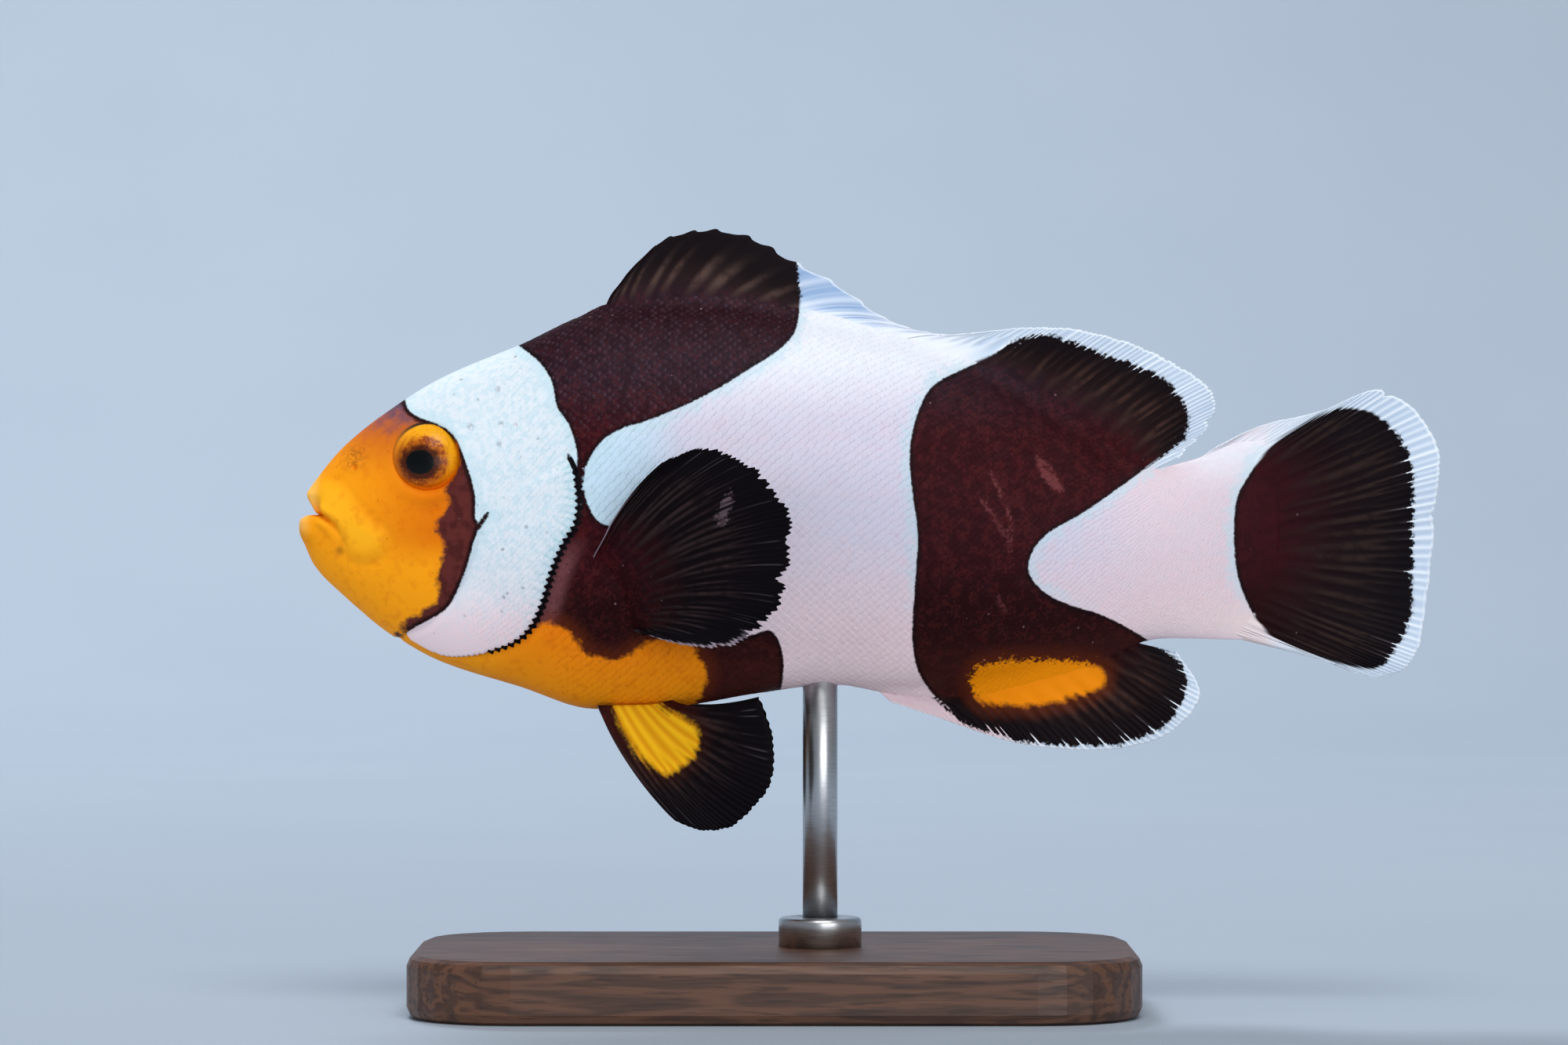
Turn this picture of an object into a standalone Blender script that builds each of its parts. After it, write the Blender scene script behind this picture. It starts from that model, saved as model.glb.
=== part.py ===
"""Life-size model of an adult clownfish on a plain display stand.

The fish looks along -X, its left side is turned to -Y and +Z is up. Z = 0 is the underside of
the stand, and X = 0 is half way between the snout and the tip of the tail fin. All the sizes
below are in millimetres, and MM turns them into metres when a mesh is made.

The body is one lofted form, parted by thin cuts into a head, a lower jaw, gill covers, a trunk
and a tail stalk. Every fin is a plate laid over a fan of rays, each ray from a foot to a tip.
"""
import math

import bmesh
import bpy
import numpy as np

MM = 0.001
GAP = 0.3                  # clearance between two pieces that meet
HALF_GAP = GAP / 2.0

# --- the body's lines in the side view, as (x, z) --------------------------------------------
SNOUT_X = -42.5
BODY_END_X = 28.4
BACK = [(SNOUT_X, 37.0), (-42.2, 38.2), (-41.3, 39.6), (-39.4, 41.9), (-36.5, 44.3), (-32.1, 47.1),
        (-26.2, 49.6), (-19.7, 52.2), (-12.2, 52.5), (-5.2, 51.6), (2.0, 49.9), (9.0, 47.1),
        (15.0, 43.6), (20.6, 40.3), (24.1, 41.0), (BODY_END_X, 42.6)]
BELLY = [(SNOUT_X, 36.2), (-42.2, 34.8), (-41.5, 33.1), (-39.4, 30.9), (-36.5, 28.5),
         (-32.1, 25.9), (-26.2, 24.0), (-20.4, 22.3), (-14.5, 22.5), (-8.1, 23.5), (-2.8, 24.1),
         (2.5, 23.8), (8.4, 24.4), (13.6, 25.5), (18.7, 26.9), (22.4, 27.6), (BODY_END_X, 27.3)]
HALF_WIDTH = [(SNOUT_X, 0.9), (-42.2, 1.9), (-41.3, 2.6), (-39.0, 3.6), (-36.0, 4.6), (-33.0, 5.4),
              (-29.0, 6.2), (-24.0, 6.8), (-17.0, 7.1), (-8.0, 6.8), (0.0, 6.0), (8.0, 4.8),
              (15.0, 3.5), (20.0, 2.7), (25.0, 2.0), (BODY_END_X, 1.7)]
WIDEST_LEVEL = 0.50        # height of the widest line, as a share of the depth
BACK_TAPER = 1.12          # above 1 the back is more of a wedge than an ellipse
BODY_STATIONS = 40
BODY_SIDES = 28

# A gentle sweep of the tail towards the fish's left side
SWEEP_START_X = 2.0
SWEEP = 2.0

# --- thin cuts, as lines in the side view ----------------------------------------------------
# Each line runs from above the back to below the belly
GILL_CUT = [(-28.6, 51.5), (-25.6, 49.0), (-23.6, 45.8), (-22.3, 43.0), (-21.6, 40.3), (-21.6, 37.2),
            (-22.7, 34.8), (-23.8, 32.2), (-24.6, 29.8), (-26.2, 27.6), (-28.8, 26.0), (-31.6, 23.0)]
STALK_CUT = [(17.6, 46.0), (19.3, 41.0), (19.9, 35.0), (18.9, 29.0), (17.6, 24.0)]
TAIL_CUT = [(24.4, 45.0), (25.9, 41.2), (27.2, 38.0), (27.5, 34.9), (27.2, 31.8), (25.9, 28.6),
            (24.4, 25.0)]
JAW_CUT = [(-44.0, 37.6), (-41.4, 36.9), (-39.9, 35.9), (-38.7, 34.0), (-37.2, 32.0), (-35.6, 29.8),
           (-34.4, 27.4), (-33.8, 24.0)]
CUT_TOP = 70.0
CUT_BOTTOM = 10.0
MOUTH_GAPE = 1.2           # how far the lips stand apart at the front
MOUTH_CORNER = (-41.2, 36.9)

# --- plates on the side of the head ----------------------------------------------------------
# Each has rows of (z, front x, rear x); a row where both are the same closes the plate
GILL_COVER_ROWS = [(41.6, -22.6, -22.6), (40.9, -25.2, -22.2), (39.0, -27.2, -21.9),
                   (36.5, -28.2, -22.1), (34.0, -28.8, -23.5), (31.6, -29.4, -24.5),
                   (29.4, -30.2, -25.3), (27.9, -30.6, -26.7), (27.0, -29.0, -29.0)]
GILL_COVER_PROUD = 0.25
GILL_COVER_THICK = 1.2
UPPER_JAW_ROWS = [(39.1, -40.2, -40.2), (38.4, -40.6, -38.9), (37.2, -40.2, -38.0),
                  (36.2, -39.5, -37.0), (35.2, -38.9, -36.3), (34.4, -38.6, -36.3),
                  (33.7, -37.6, -37.6)]
UPPER_JAW_PROUD = 0.3
UPPER_JAW_THICK = 0.9

# --- eyes ------------------------------------------------------------------------------------
EYE_PLACE = (-33.0, 41.1)
EYE_RADIUS = 2.9
EYE_DEPTH = 2.1            # half the eyeball's depth, across the head
EYE_BULGE = 0.75           # how far the eye stands out of the head
EYE_TILT = math.radians(20.0)
EYE_TURN = math.radians(12.0)

# --- fins: each ray is (foot x, tip x, tip z) for a fin that stands on the back or belly -----
SPINY_DORSAL_RAYS = [(-19.6, -18.9, 53.7), (-18.2, -16.6, 56.4), (-15.9, -14.7, 57.8),
                     (-13.4, -11.8, 58.3), (-10.7, -8.6, 57.7), (-7.8, -5.4, 55.9),
                     (-4.8, -2.2, 54.2), (-1.6, 1.2, 51.7), (1.8, 4.2, 50.5), (4.9, 6.6, 50.2)]
SOFT_DORSAL_RAYS = [(5.5, 7.1, 50.2), (8.2, 11.4, 50.9), (11.0, 15.6, 50.8), (13.6, 19.6, 49.8),
                    (16.0, 23.1, 48.2), (18.2, 25.8, 46.0), (19.9, 25.6, 43.6), (21.0, 23.4, 41.2)]
ANAL_RAYS = [(0.2, 1.8, 22.8), (3.3, 6.0, 21.4), (6.6, 10.4, 19.9), (9.8, 14.8, 19.3),
             (12.9, 19.2, 19.4), (15.6, 22.8, 20.7), (17.8, 24.8, 23.5), (19.6, 23.2, 26.6)]
# Rays of the other fins are (foot x, foot z, tip x, tip z, tip's distance outwards)
TAIL_RAYS = [(25.8, 41.6, 28.4, 43.2, 0.0), (26.4, 40.2, 33.4, 44.6, 0.1),
             (27.1, 38.6, 38.6, 46.2, 0.2), (27.5, 36.9, 42.3, 42.4, 0.0),
             (27.7, 35.0, 42.3, 37.0, -0.3), (27.5, 33.1, 41.8, 31.0, 0.0),
             (27.1, 31.3, 40.7, 26.2, 0.2), (26.4, 29.7, 37.8, 24.6, 0.3),
             (25.8, 28.5, 32.0, 26.1, 0.1), (25.5, 27.9, 28.0, 27.4, 0.0)]
PECTORAL_RAYS = [(-20.2, 33.7, -14.6, 41.1, 4.6), (-19.8, 33.1, -11.8, 41.9, 5.6),
                 (-19.4, 32.4, -8.9, 41.0, 6.6), (-19.0, 31.7, -6.6, 38.8, 7.4),
                 (-18.6, 31.0, -5.2, 35.8, 7.6), (-18.2, 30.3, -5.6, 32.4, 7.2),
                 (-17.9, 29.7, -7.4, 29.6, 6.2), (-17.6, 29.1, -9.9, 27.7, 4.9),
                 (-17.4, 28.6, -12.8, 27.2, 3.2), (-17.3, 28.2, -15.3, 27.6, 1.6)]
PELVIC_RAYS = [(-20.2, 22.1, -14.3, 14.1, 1.6), (-19.3, 22.1, -12.4, 13.4, 2.1),
               (-18.3, 22.1, -10.4, 13.6, 2.5), (-17.3, 22.1, -8.6, 14.9, 2.8),
               (-16.3, 22.1, -7.2, 17.0, 2.9), (-15.4, 22.2, -7.0, 19.7, 2.7),
               (-14.6, 22.2, -8.4, 22.7, 2.4)]
PELVIC_FOOT_Y = 1.7        # each pelvic fin's foot, from the middle of the belly
FIN_TIP_HALF = 0.25        # half the thickness at a fin's edge
MEDIAN_FOOT_HALF = 0.75
PAIRED_FOOT_HALF = 0.6

# --- stand -----------------------------------------------------------------------------------
BASE_SIZE = (54.0, 32.0, 4.6)
BASE_CENTRE_X = -7.0
BASE_CORNER = 8.0
BASE_CHAMFER = 0.8
ROD_X = -3.6
ROD_RADIUS = 1.3
ROD_SIDES = 20
ROD_SINK = 2.4             # how deep the rod goes into the base
ROD_PLUG = 1.6             # how deep it goes into the belly
COLLAR_RADIUS = 3.1
COLLAR_HEIGHT = 2.2


# --- helpers: curves -------------------------------------------------------------------------
def clear_scene():
    for thing in list(bpy.data.objects):
        bpy.data.objects.remove(thing, do_unlink=True)


def profile(points, xs):
    """Smooth heights at xs through (x, z) points: cubic pieces that never overshoot."""
    px, pz = np.array(points, float).T
    step = np.diff(px)
    slope = np.diff(pz) / step
    tangent = np.empty_like(px)
    tangent[0], tangent[-1] = slope[0], slope[-1]
    same_way = slope[:-1] * slope[1:] > 0.0
    mean = 2.0 * slope[:-1] * slope[1:] / np.where(same_way, slope[:-1] + slope[1:], 1.0)
    tangent[1:-1] = np.where(same_way, mean, 0.0)
    xs = np.clip(np.asarray(xs, float), px[0], px[-1])
    i = np.clip(np.searchsorted(px, xs) - 1, 0, len(step) - 1)
    t = (xs - px[i]) / step[i]
    rise = t * t * (3.0 - 2.0 * t)
    return (pz[i] * (1.0 - rise) + pz[i + 1] * rise
            + step[i] * (tangent[i] * t * (1.0 - t) ** 2 - tangent[i + 1] * t * t * (1.0 - t)))


def fan(rows, count):
    """Rows of numbers made `count` rows long by a Catmull-Rom curve through them."""
    rows = np.array(rows, float)
    ends = np.vstack([2.0 * rows[0] - rows[1], rows, 2.0 * rows[-1] - rows[-2]])
    place = np.linspace(0.0, len(rows) - 1.0, count)
    i = np.minimum(place.astype(int), len(rows) - 2)
    t = (place - i)[:, None]
    a, b, c, d = ends[i], ends[i + 1], ends[i + 2], ends[i + 3]
    return 0.5 * (2.0 * b + (c - a) * t + (2.0 * a - 5.0 * b + 4.0 * c - d) * t ** 2
                  + (3.0 * b - a - 3.0 * c + d) * t ** 3)


def sweep(points):
    """Points in millimetres with the tail's gentle sweep added."""
    swept = np.array(points, float)
    reach = np.clip((swept[..., 0] - SWEEP_START_X) / (-SNOUT_X - SWEEP_START_X), 0.0, None)
    swept[..., 1] -= SWEEP * reach ** 2
    return swept


# --- helpers: the body's form ----------------------------------------------------------------
def body_section(xs, angle, inset=0.0):
    """Points (x, y, z) of the body; angle runs from the back (0) down the left side and round."""
    top = profile(BACK, xs)
    bottom = profile(BELLY, xs)
    middle = bottom + WIDEST_LEVEL * (top - bottom)
    width = profile(HALF_WIDTH, xs) - inset
    rise = np.cos(angle)
    taper = np.where(rise > 0.0, BACK_TAPER, 1.0)
    side = np.sin(angle)
    y = -width * np.sign(side) * np.abs(side) ** taper
    z = middle + rise * np.where(rise > 0.0, top - middle, middle - bottom)
    return np.stack(np.broadcast_arrays(xs, y, z), axis=-1)


def body_half_width(x, z):
    """Half the body's width at a place in the side view."""
    top = profile(BACK, x)
    bottom = profile(BELLY, x)
    middle = bottom + WIDEST_LEVEL * (top - bottom)
    rise = np.where(z > middle, (z - middle) / (top - middle), (middle - z) / (middle - bottom))
    side = np.sqrt(np.clip(1.0 - np.clip(rise, 0.0, 1.0) ** 2, 0.0, 1.0))
    return profile(HALF_WIDTH, x) * side ** np.where(z > middle, BACK_TAPER, 1.0)


# --- helpers: meshes and objects -------------------------------------------------------------
def finish(name, colour, roughness, metallic=0.0):
    material = bpy.data.materials.new(name)
    material.use_nodes = True
    shader = material.node_tree.nodes["Principled BSDF"]
    shader.inputs["Base Color"].default_value = (*colour, 1.0)
    shader.inputs["Roughness"].default_value = roughness
    shader.inputs["Metallic"].default_value = metallic
    return material


def add_object(name, vertices, faces, material=None):
    """A mesh object from vertices in millimetres, with doubles merged and faces turned out."""
    work = bmesh.new()
    corners = [work.verts.new(tuple(v)) for v in np.asarray(vertices, float) * MM]
    for face in faces:
        work.faces.new([corners[i] for i in face])
    bmesh.ops.remove_doubles(work, verts=work.verts, dist=0.002 * MM)
    bmesh.ops.dissolve_degenerate(work, edges=work.edges, dist=0.002 * MM)
    bmesh.ops.recalc_face_normals(work, faces=work.faces)
    mesh = bpy.data.meshes.new(name)
    work.to_mesh(mesh)
    work.free()
    mesh.shade_smooth()
    mesh.set_sharp_from_angle(angle=math.radians(40.0))
    thing = bpy.data.objects.new(name, mesh)
    bpy.context.collection.objects.link(thing)
    if material:
        mesh.materials.append(material)
    return thing


def grid_faces(rows, columns, first=0, closed=False, flip=False):
    """Quads of a grid of points stored row by row; closed joins the last column to the first."""
    faces = []
    for i in range(rows - 1):
        for j in range(columns if closed else columns - 1):
            k = (j + 1) % columns
            quad = [first + i * columns + j, first + i * columns + k,
                    first + (i + 1) * columns + k, first + (i + 1) * columns + j]
            faces.append(quad[::-1] if flip else quad)
    return faces


def plate(name, outer, inner, material=None):
    """A closed plate between two grids of points of the same size, with walls round its edge."""
    rows, columns = outer.shape[:2]
    count = rows * columns
    points = np.vstack([outer.reshape(-1, 3), inner.reshape(-1, 3)])
    faces = grid_faces(rows, columns) + grid_faces(rows, columns, first=count, flip=True)
    rim = [j for j in range(columns)]
    rim += [i * columns + columns - 1 for i in range(1, rows)]
    rim += [(rows - 1) * columns + j for j in range(columns - 2, -1, -1)]
    rim += [i * columns for i in range(rows - 2, 0, -1)]
    for here, ahead in zip(rim, rim[1:] + rim[:1]):
        faces.append([here, here + count, ahead + count, ahead])
    return add_object(name, points, faces, material)


def prism(name, outline):
    """A cutter: an outline in the side view, carried right across the body."""
    reach = 2.0 * max(width for _, width in HALF_WIDTH)
    count = len(outline)
    points = [(x, y, z) for y in (-reach, reach) for x, z in outline]
    faces = [list(range(count)), list(range(count, 2 * count))[::-1]]
    faces += [[i, i + count, (i + 1) % count + count, (i + 1) % count] for i in range(count)]
    return as_cutter(add_object(name, points, faces))


def as_cutter(thing):
    thing.hide_render = True
    thing.display_type = "WIRE"
    return thing


def carve(thing, operation, *cutters):
    for cutter in cutters:
        step = thing.modifiers.new(cutter.name, "BOOLEAN")
        step.operation = operation
        step.object = cutter


def mirrored(thing, name):
    """The same piece on the fish's other side."""
    mesh = thing.data.copy()
    mesh.name = name
    work = bmesh.new()
    work.from_mesh(mesh)
    for corner in work.verts:
        corner.co.y = -corner.co.y
    bmesh.ops.reverse_faces(work, faces=work.faces)
    work.to_mesh(mesh)
    work.free()
    twin = bpy.data.objects.new(name, mesh)
    bpy.context.collection.objects.link(twin)
    return twin


# --- body ------------------------------------------------------------------------------------
def add_whole_body(name, material=None):
    """The body as one loft, its stations closer together at the snout."""
    spread = np.linspace(0.0, 1.0, BODY_STATIONS)
    xs = SNOUT_X + (BODY_END_X - SNOUT_X) * (0.45 * spread ** 2 + 0.55 * spread) ** 1.15
    angles = np.linspace(0.0, 2.0 * math.pi, BODY_SIDES, endpoint=False)
    skin = sweep(body_section(xs[:, None], angles[None, :]))
    last = (BODY_STATIONS - 1) * BODY_SIDES
    faces = grid_faces(BODY_STATIONS, BODY_SIDES, closed=True)
    faces += [list(range(BODY_SIDES)), list(range(last, last + BODY_SIDES))]
    return add_object(name, skin.reshape(-1, 3), faces, material)


def line_between(points, shift_x, shift_z=0.0, count=26):
    """A thin cut's edge: the cut's smooth line moved to one side by half the gap."""
    line = fan(points, count)
    return [(x + shift_x, z + shift_z) for x, z in line]


def region(name, front, rear):
    """The prism between two cut lines, carried on well above the back and below the belly."""
    front = [(front[0][0], CUT_TOP)] + front + [(front[-1][0], CUT_BOTTOM)]
    rear = [(rear[0][0], CUT_TOP)] + rear + [(rear[-1][0], CUT_BOTTOM)]
    return prism(name, front + rear[::-1])


def jaw_outline(grow):
    """The lower jaw in the side view; grow moves its edge up and back."""
    edge = line_between(JAW_CUT, 0.7 * grow, 0.7 * grow)
    front = SNOUT_X - 3.0
    return edge + [(edge[-1][0], CUT_BOTTOM), (front, CUT_BOTTOM), (front, edge[0][1])]


def mouth_wedge():
    """The open mouth between the lips."""
    x, z = MOUTH_CORNER
    front = SNOUT_X - 1.5
    depth = x - front
    return prism("cut_mouth", [(x, z), (front, z + MOUTH_GAPE * depth / (x - SNOUT_X)),
                               (front, z - 0.1)])


def side_grid(rows, depth, grow=0.0, columns=6, lines=13):
    """Points over a plate's outline, `depth` millimetres outside the body's left surface."""
    rows = fan(rows, lines)
    share = np.linspace(0.0, 1.0, columns)[None, :]
    middle = rows[:, 1:].mean(axis=1, keepdims=True)
    half = np.maximum((rows[:, 2:] - rows[:, 1:2]) / 2.0, 0.0) + grow
    x = middle + half * (2.0 * share - 1.0)
    ends = np.linspace(grow, -grow, lines)[:, None]
    z = np.broadcast_to(rows[:, :1] + ends, x.shape)
    y = -(body_half_width(x, z) + depth)
    return sweep(np.stack([x, y, z], axis=-1))


def add_side_plates(name, rows, proud, thick, material, columns=6, lines=13):
    """A plate let into each side of the head, and the two recesses that take them."""
    left = plate(name + "_left", side_grid(rows, proud, 0.0, columns, lines),
                 side_grid(rows, proud - thick, 0.0, columns, lines), material)
    right = mirrored(left, name + "_right")
    recess = plate("cut_" + name + "_left", side_grid(rows, 3.0, GAP, columns, lines),
                   side_grid(rows, proud - thick - GAP, GAP, columns, lines))
    return [as_cutter(recess), as_cutter(mirrored(recess, "cut_" + name + "_right"))], left, right


def eye_ball(name, radius, depth, side, material=None):
    """An eyeball flattened across the head, facing a little up and forwards."""
    x, z = EYE_PLACE
    y = float(body_half_width(x, z)) + EYE_BULGE - EYE_DEPTH
    rings, segments = 9, 16
    polar = np.linspace(0.0, math.pi, rings)[:, None]
    round_ = np.linspace(0.0, 2.0 * math.pi, segments, endpoint=False)[None, :]
    ball = np.stack([radius * np.sin(polar) * np.cos(round_),
                     -depth * np.cos(polar) * np.ones_like(round_),
                     radius * np.sin(polar) * np.sin(round_)], axis=-1)
    tilt, turn = EYE_TILT, EYE_TURN
    lean = np.array([[1.0, 0.0, 0.0], [0.0, math.cos(tilt), math.sin(tilt)],
                     [0.0, -math.sin(tilt), math.cos(tilt)]])
    look = np.array([[math.cos(turn), math.sin(turn), 0.0],
                     [-math.sin(turn), math.cos(turn), 0.0], [0.0, 0.0, 1.0]])
    ball = ball @ (look @ lean).T + np.array([x, -y, z])
    ball[..., 1] *= side
    faces = grid_faces(rings, segments, closed=True)
    return add_object(name, ball.reshape(-1, 3), faces, material)


def rod_cutter(name, bottom, top):
    return as_cutter(turned_piece(name, [(0.0, bottom), (ROD_RADIUS + GAP, bottom),
                                         (ROD_RADIUS + GAP, top), (0.0, top)]))


def add_body(orange, white, brown, eye_finish):
    """The fleshy parts, each the body's loft held between thin cuts."""
    gill_front = line_between(GILL_CUT, -HALF_GAP)
    gill_rear = line_between(GILL_CUT, HALF_GAP)
    covers, *_ = add_side_plates("gill_cover", GILL_COVER_ROWS, GILL_COVER_PROUD,
                                 GILL_COVER_THICK, white)
    jaws, *_ = add_side_plates("upper_jaw", UPPER_JAW_ROWS, UPPER_JAW_PROUD, UPPER_JAW_THICK,
                               orange, columns=4, lines=10)
    sockets = []
    for side, label in ((1.0, "left"), (-1.0, "right")):
        eye_ball("eye_" + label, EYE_RADIUS, EYE_DEPTH, side, eye_finish)
        sockets.append(as_cutter(eye_ball("cut_eye_" + label, EYE_RADIUS + GAP,
                                          EYE_DEPTH + GAP, side)))

    head = add_whole_body("head", orange)
    ahead = [(SNOUT_X - 3.0, CUT_TOP - 1.0), (SNOUT_X - 3.0, CUT_BOTTOM + 1.0)]
    carve(head, "INTERSECT", region("keep_head", ahead, gill_front))
    carve(head, "DIFFERENCE", prism("cut_jaw", jaw_outline(HALF_GAP)), *covers, *jaws, *sockets)

    lower_jaw = add_whole_body("lower_jaw", orange)
    carve(lower_jaw, "INTERSECT", prism("keep_jaw", jaw_outline(-HALF_GAP)))
    carve(lower_jaw, "DIFFERENCE", *jaws)

    mouth = mouth_wedge()
    carve(head, "DIFFERENCE", mouth)
    carve(lower_jaw, "DIFFERENCE", mouth)

    trunk = add_whole_body("trunk", white)
    carve(trunk, "INTERSECT", region("keep_trunk", gill_rear, line_between(STALK_CUT, -HALF_GAP)))
    belly = float(profile(BELLY, ROD_X))
    carve(trunk, "DIFFERENCE", rod_cutter("cut_rod", belly - 3.0, belly + ROD_PLUG + GAP))

    stalk = add_whole_body("tail_stalk", brown)
    carve(stalk, "INTERSECT", region("keep_stalk", line_between(STALK_CUT, HALF_GAP),
                                     line_between(TAIL_CUT, -HALF_GAP)))


# --- fins ------------------------------------------------------------------------------------
def fin(name, rays, material, foot_half, foot_y=None, rows=5, bow=0.0):
    """A fin: a plate over a fan of rays (foot x, foot z, tip x, tip z, tip's reach outwards)."""
    x0, z0, x1, z1, reach = rays.T[:, None, :]
    t = np.linspace(0.0, 1.0, rows)[:, None]
    curve = bow * 4.0 * t * (1.0 - t)
    x = x0 + (x1 - x0) * t - curve * (z1 - z0)
    z = z0 + (z1 - z0) * t + curve * (x1 - x0)
    start = 0.0 if foot_y is None else foot_y(x0, z0)
    y = -(start + reach * (1.3 * t - 0.3 * t * t)) * np.ones_like(x)
    half = FIN_TIP_HALF + (foot_half - FIN_TIP_HALF) * (1.0 - t) ** 1.6
    middle = np.stack([x, y, z], axis=-1)
    along = np.gradient(middle, axis=1)
    outward = np.gradient(middle, axis=0)
    normal = np.cross(along, outward)
    normal /= np.linalg.norm(normal, axis=-1, keepdims=True)
    normal *= -np.sign(normal[..., 1:2])
    offset = normal * half[..., None]
    return plate(name, sweep(middle + offset), sweep(middle - offset), material)


def standing_rays(rays, edge, side, count):
    """Rays of a fin on the back or belly, with feet a gap's width off the body's line."""
    foot, x, z = fan(rays, count).T
    return np.stack([foot, profile(edge, foot) + side * GAP, x, z, np.zeros(count)], axis=-1)


def add_fins(brown, orange, black):
    fin("dorsal_fin_spiny", standing_rays(SPINY_DORSAL_RAYS, BACK, 1.0, 28), brown,
        MEDIAN_FOOT_HALF, rows=4)
    fin("dorsal_fin_soft", standing_rays(SOFT_DORSAL_RAYS, BACK, 1.0, 18), brown, MEDIAN_FOOT_HALF)
    fin("anal_fin", standing_rays(ANAL_RAYS, BELLY, -1.0, 18), brown, MEDIAN_FOOT_HALF)
    fin("caudal_fin", fan(TAIL_RAYS, 22), brown, MEDIAN_FOOT_HALF)

    pectoral_foot = PAIRED_FOOT_HALF + GAP
    left = fin("pectoral_fin_left", fan(PECTORAL_RAYS, 20), black, PAIRED_FOOT_HALF, bow=0.07,
               foot_y=lambda x, z: body_half_width(x, z) + pectoral_foot)
    mirrored(left, "pectoral_fin_right")
    left = fin("pelvic_fin_left", fan(PELVIC_RAYS, 13), orange, PAIRED_FOOT_HALF, rows=4, bow=-0.05,
               foot_y=lambda x, z: PELVIC_FOOT_Y)
    mirrored(left, "pelvic_fin_right")


# --- stand -----------------------------------------------------------------------------------
def turned_piece(name, outline, material=None):
    """A round piece about the rod's axis, from a closed outline of (radius, z)."""
    angles = np.linspace(0.0, 2.0 * math.pi, ROD_SIDES, endpoint=False)
    radius, height = np.array(outline, float).T
    points = np.stack([ROD_X + radius[:, None] * np.cos(angles), radius[:, None] * np.sin(angles),
                       np.broadcast_to(height[:, None], (len(outline), ROD_SIDES))], axis=-1)
    if outline[0][0] > 0.0:
        points = np.concatenate([points, points[:1]])
    faces = grid_faces(len(points), ROD_SIDES, closed=True)
    return add_object(name, points.reshape(-1, 3), faces, material)


def add_stand(wood, steel):
    length, width, height = BASE_SIZE
    corners = []
    for turn, (sx, sy) in enumerate(((1, 1), (-1, 1), (-1, -1), (1, -1))):
        for angle in np.linspace(turn * math.pi / 2.0, (turn + 1) * math.pi / 2.0, 7):
            corners.append((BASE_CENTRE_X + sx * (length / 2.0 - BASE_CORNER)
                            + BASE_CORNER * math.cos(angle),
                            sy * (width / 2.0 - BASE_CORNER) + BASE_CORNER * math.sin(angle)))
    count = len(corners)
    points = [(x, y, z) for z in (0.0, height) for x, y in corners]
    faces = [list(range(count))[::-1], list(range(count, 2 * count))]
    faces += [[i, (i + 1) % count, (i + 1) % count + count, i + count] for i in range(count)]
    base = add_object("stand_base", points, faces, wood)
    chamfer = base.modifiers.new("chamfer", "BEVEL")
    chamfer.width = BASE_CHAMFER * MM
    chamfer.segments = 2
    chamfer.limit_method = "ANGLE"
    chamfer.angle_limit = math.radians(60.0)
    carve(base, "DIFFERENCE", rod_cutter("cut_base", height - ROD_SINK - GAP, height + 2.0))

    belly = float(profile(BELLY, ROD_X))
    foot, top, edge = height - ROD_SINK, belly + ROD_PLUG, 0.2
    turned_piece("stand_rod", [(0.0, foot), (ROD_RADIUS - edge, foot), (ROD_RADIUS, foot + edge),
                               (ROD_RADIUS, top - edge), (ROD_RADIUS - edge, top), (0.0, top)],
                 steel)
    inner, low, edge = ROD_RADIUS + GAP, height + GAP, 0.5
    high = low + COLLAR_HEIGHT
    turned_piece("stand_collar", [(inner, low), (COLLAR_RADIUS, low), (COLLAR_RADIUS, high - edge),
                                  (COLLAR_RADIUS - edge, high), (inner, high)], steel)


def main():
    clear_scene()
    orange = finish("orange_skin", (0.80, 0.28, 0.03), 0.45)
    white = finish("white_skin", (0.74, 0.74, 0.82), 0.45)
    brown = finish("brown_skin", (0.035, 0.012, 0.016), 0.45)
    black = finish("black_fin", (0.012, 0.008, 0.012), 0.40)
    eye = finish("eye", (0.02, 0.02, 0.02), 0.08)
    wood = finish("walnut", (0.12, 0.06, 0.03), 0.50)
    steel = finish("brushed_steel", (0.60, 0.60, 0.60), 0.30, 1.0)
    add_body(orange, white, brown, eye)
    add_fins(brown, orange, black)
    add_stand(wood, steel)


main()
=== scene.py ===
"""Looks of the life-size clownfish: one skin with its scales, rayed fins, eyes and the stand.

The fish looks along -X, its left side is turned to -Y and +Z is up, as in the solids. Shapes are
worked out in millimetres as whole arrays, and Piece turns them into metres.
"""
import logging
import math
from dataclasses import dataclass, field
from enum import Enum
from functools import reduce
from typing import Optional, Sequence

import bmesh
import bpy
import numpy as np
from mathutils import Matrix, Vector


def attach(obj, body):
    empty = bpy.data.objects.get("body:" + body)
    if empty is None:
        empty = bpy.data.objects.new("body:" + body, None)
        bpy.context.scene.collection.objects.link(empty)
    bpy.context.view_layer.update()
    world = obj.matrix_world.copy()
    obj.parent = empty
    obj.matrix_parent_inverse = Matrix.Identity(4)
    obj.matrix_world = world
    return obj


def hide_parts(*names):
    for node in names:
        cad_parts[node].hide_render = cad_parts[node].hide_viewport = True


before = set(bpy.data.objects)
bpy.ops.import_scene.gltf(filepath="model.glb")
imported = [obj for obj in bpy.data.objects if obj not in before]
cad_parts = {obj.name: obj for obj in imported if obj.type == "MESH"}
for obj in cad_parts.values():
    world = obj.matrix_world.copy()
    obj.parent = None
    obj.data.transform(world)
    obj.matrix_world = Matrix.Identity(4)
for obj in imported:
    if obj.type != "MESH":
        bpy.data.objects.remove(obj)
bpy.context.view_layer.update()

Array = np.ndarray
Socket = bpy.types.NodeSocket
Colour = tuple[float, float, float]
Points = Sequence[tuple[float, ...]]

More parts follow.
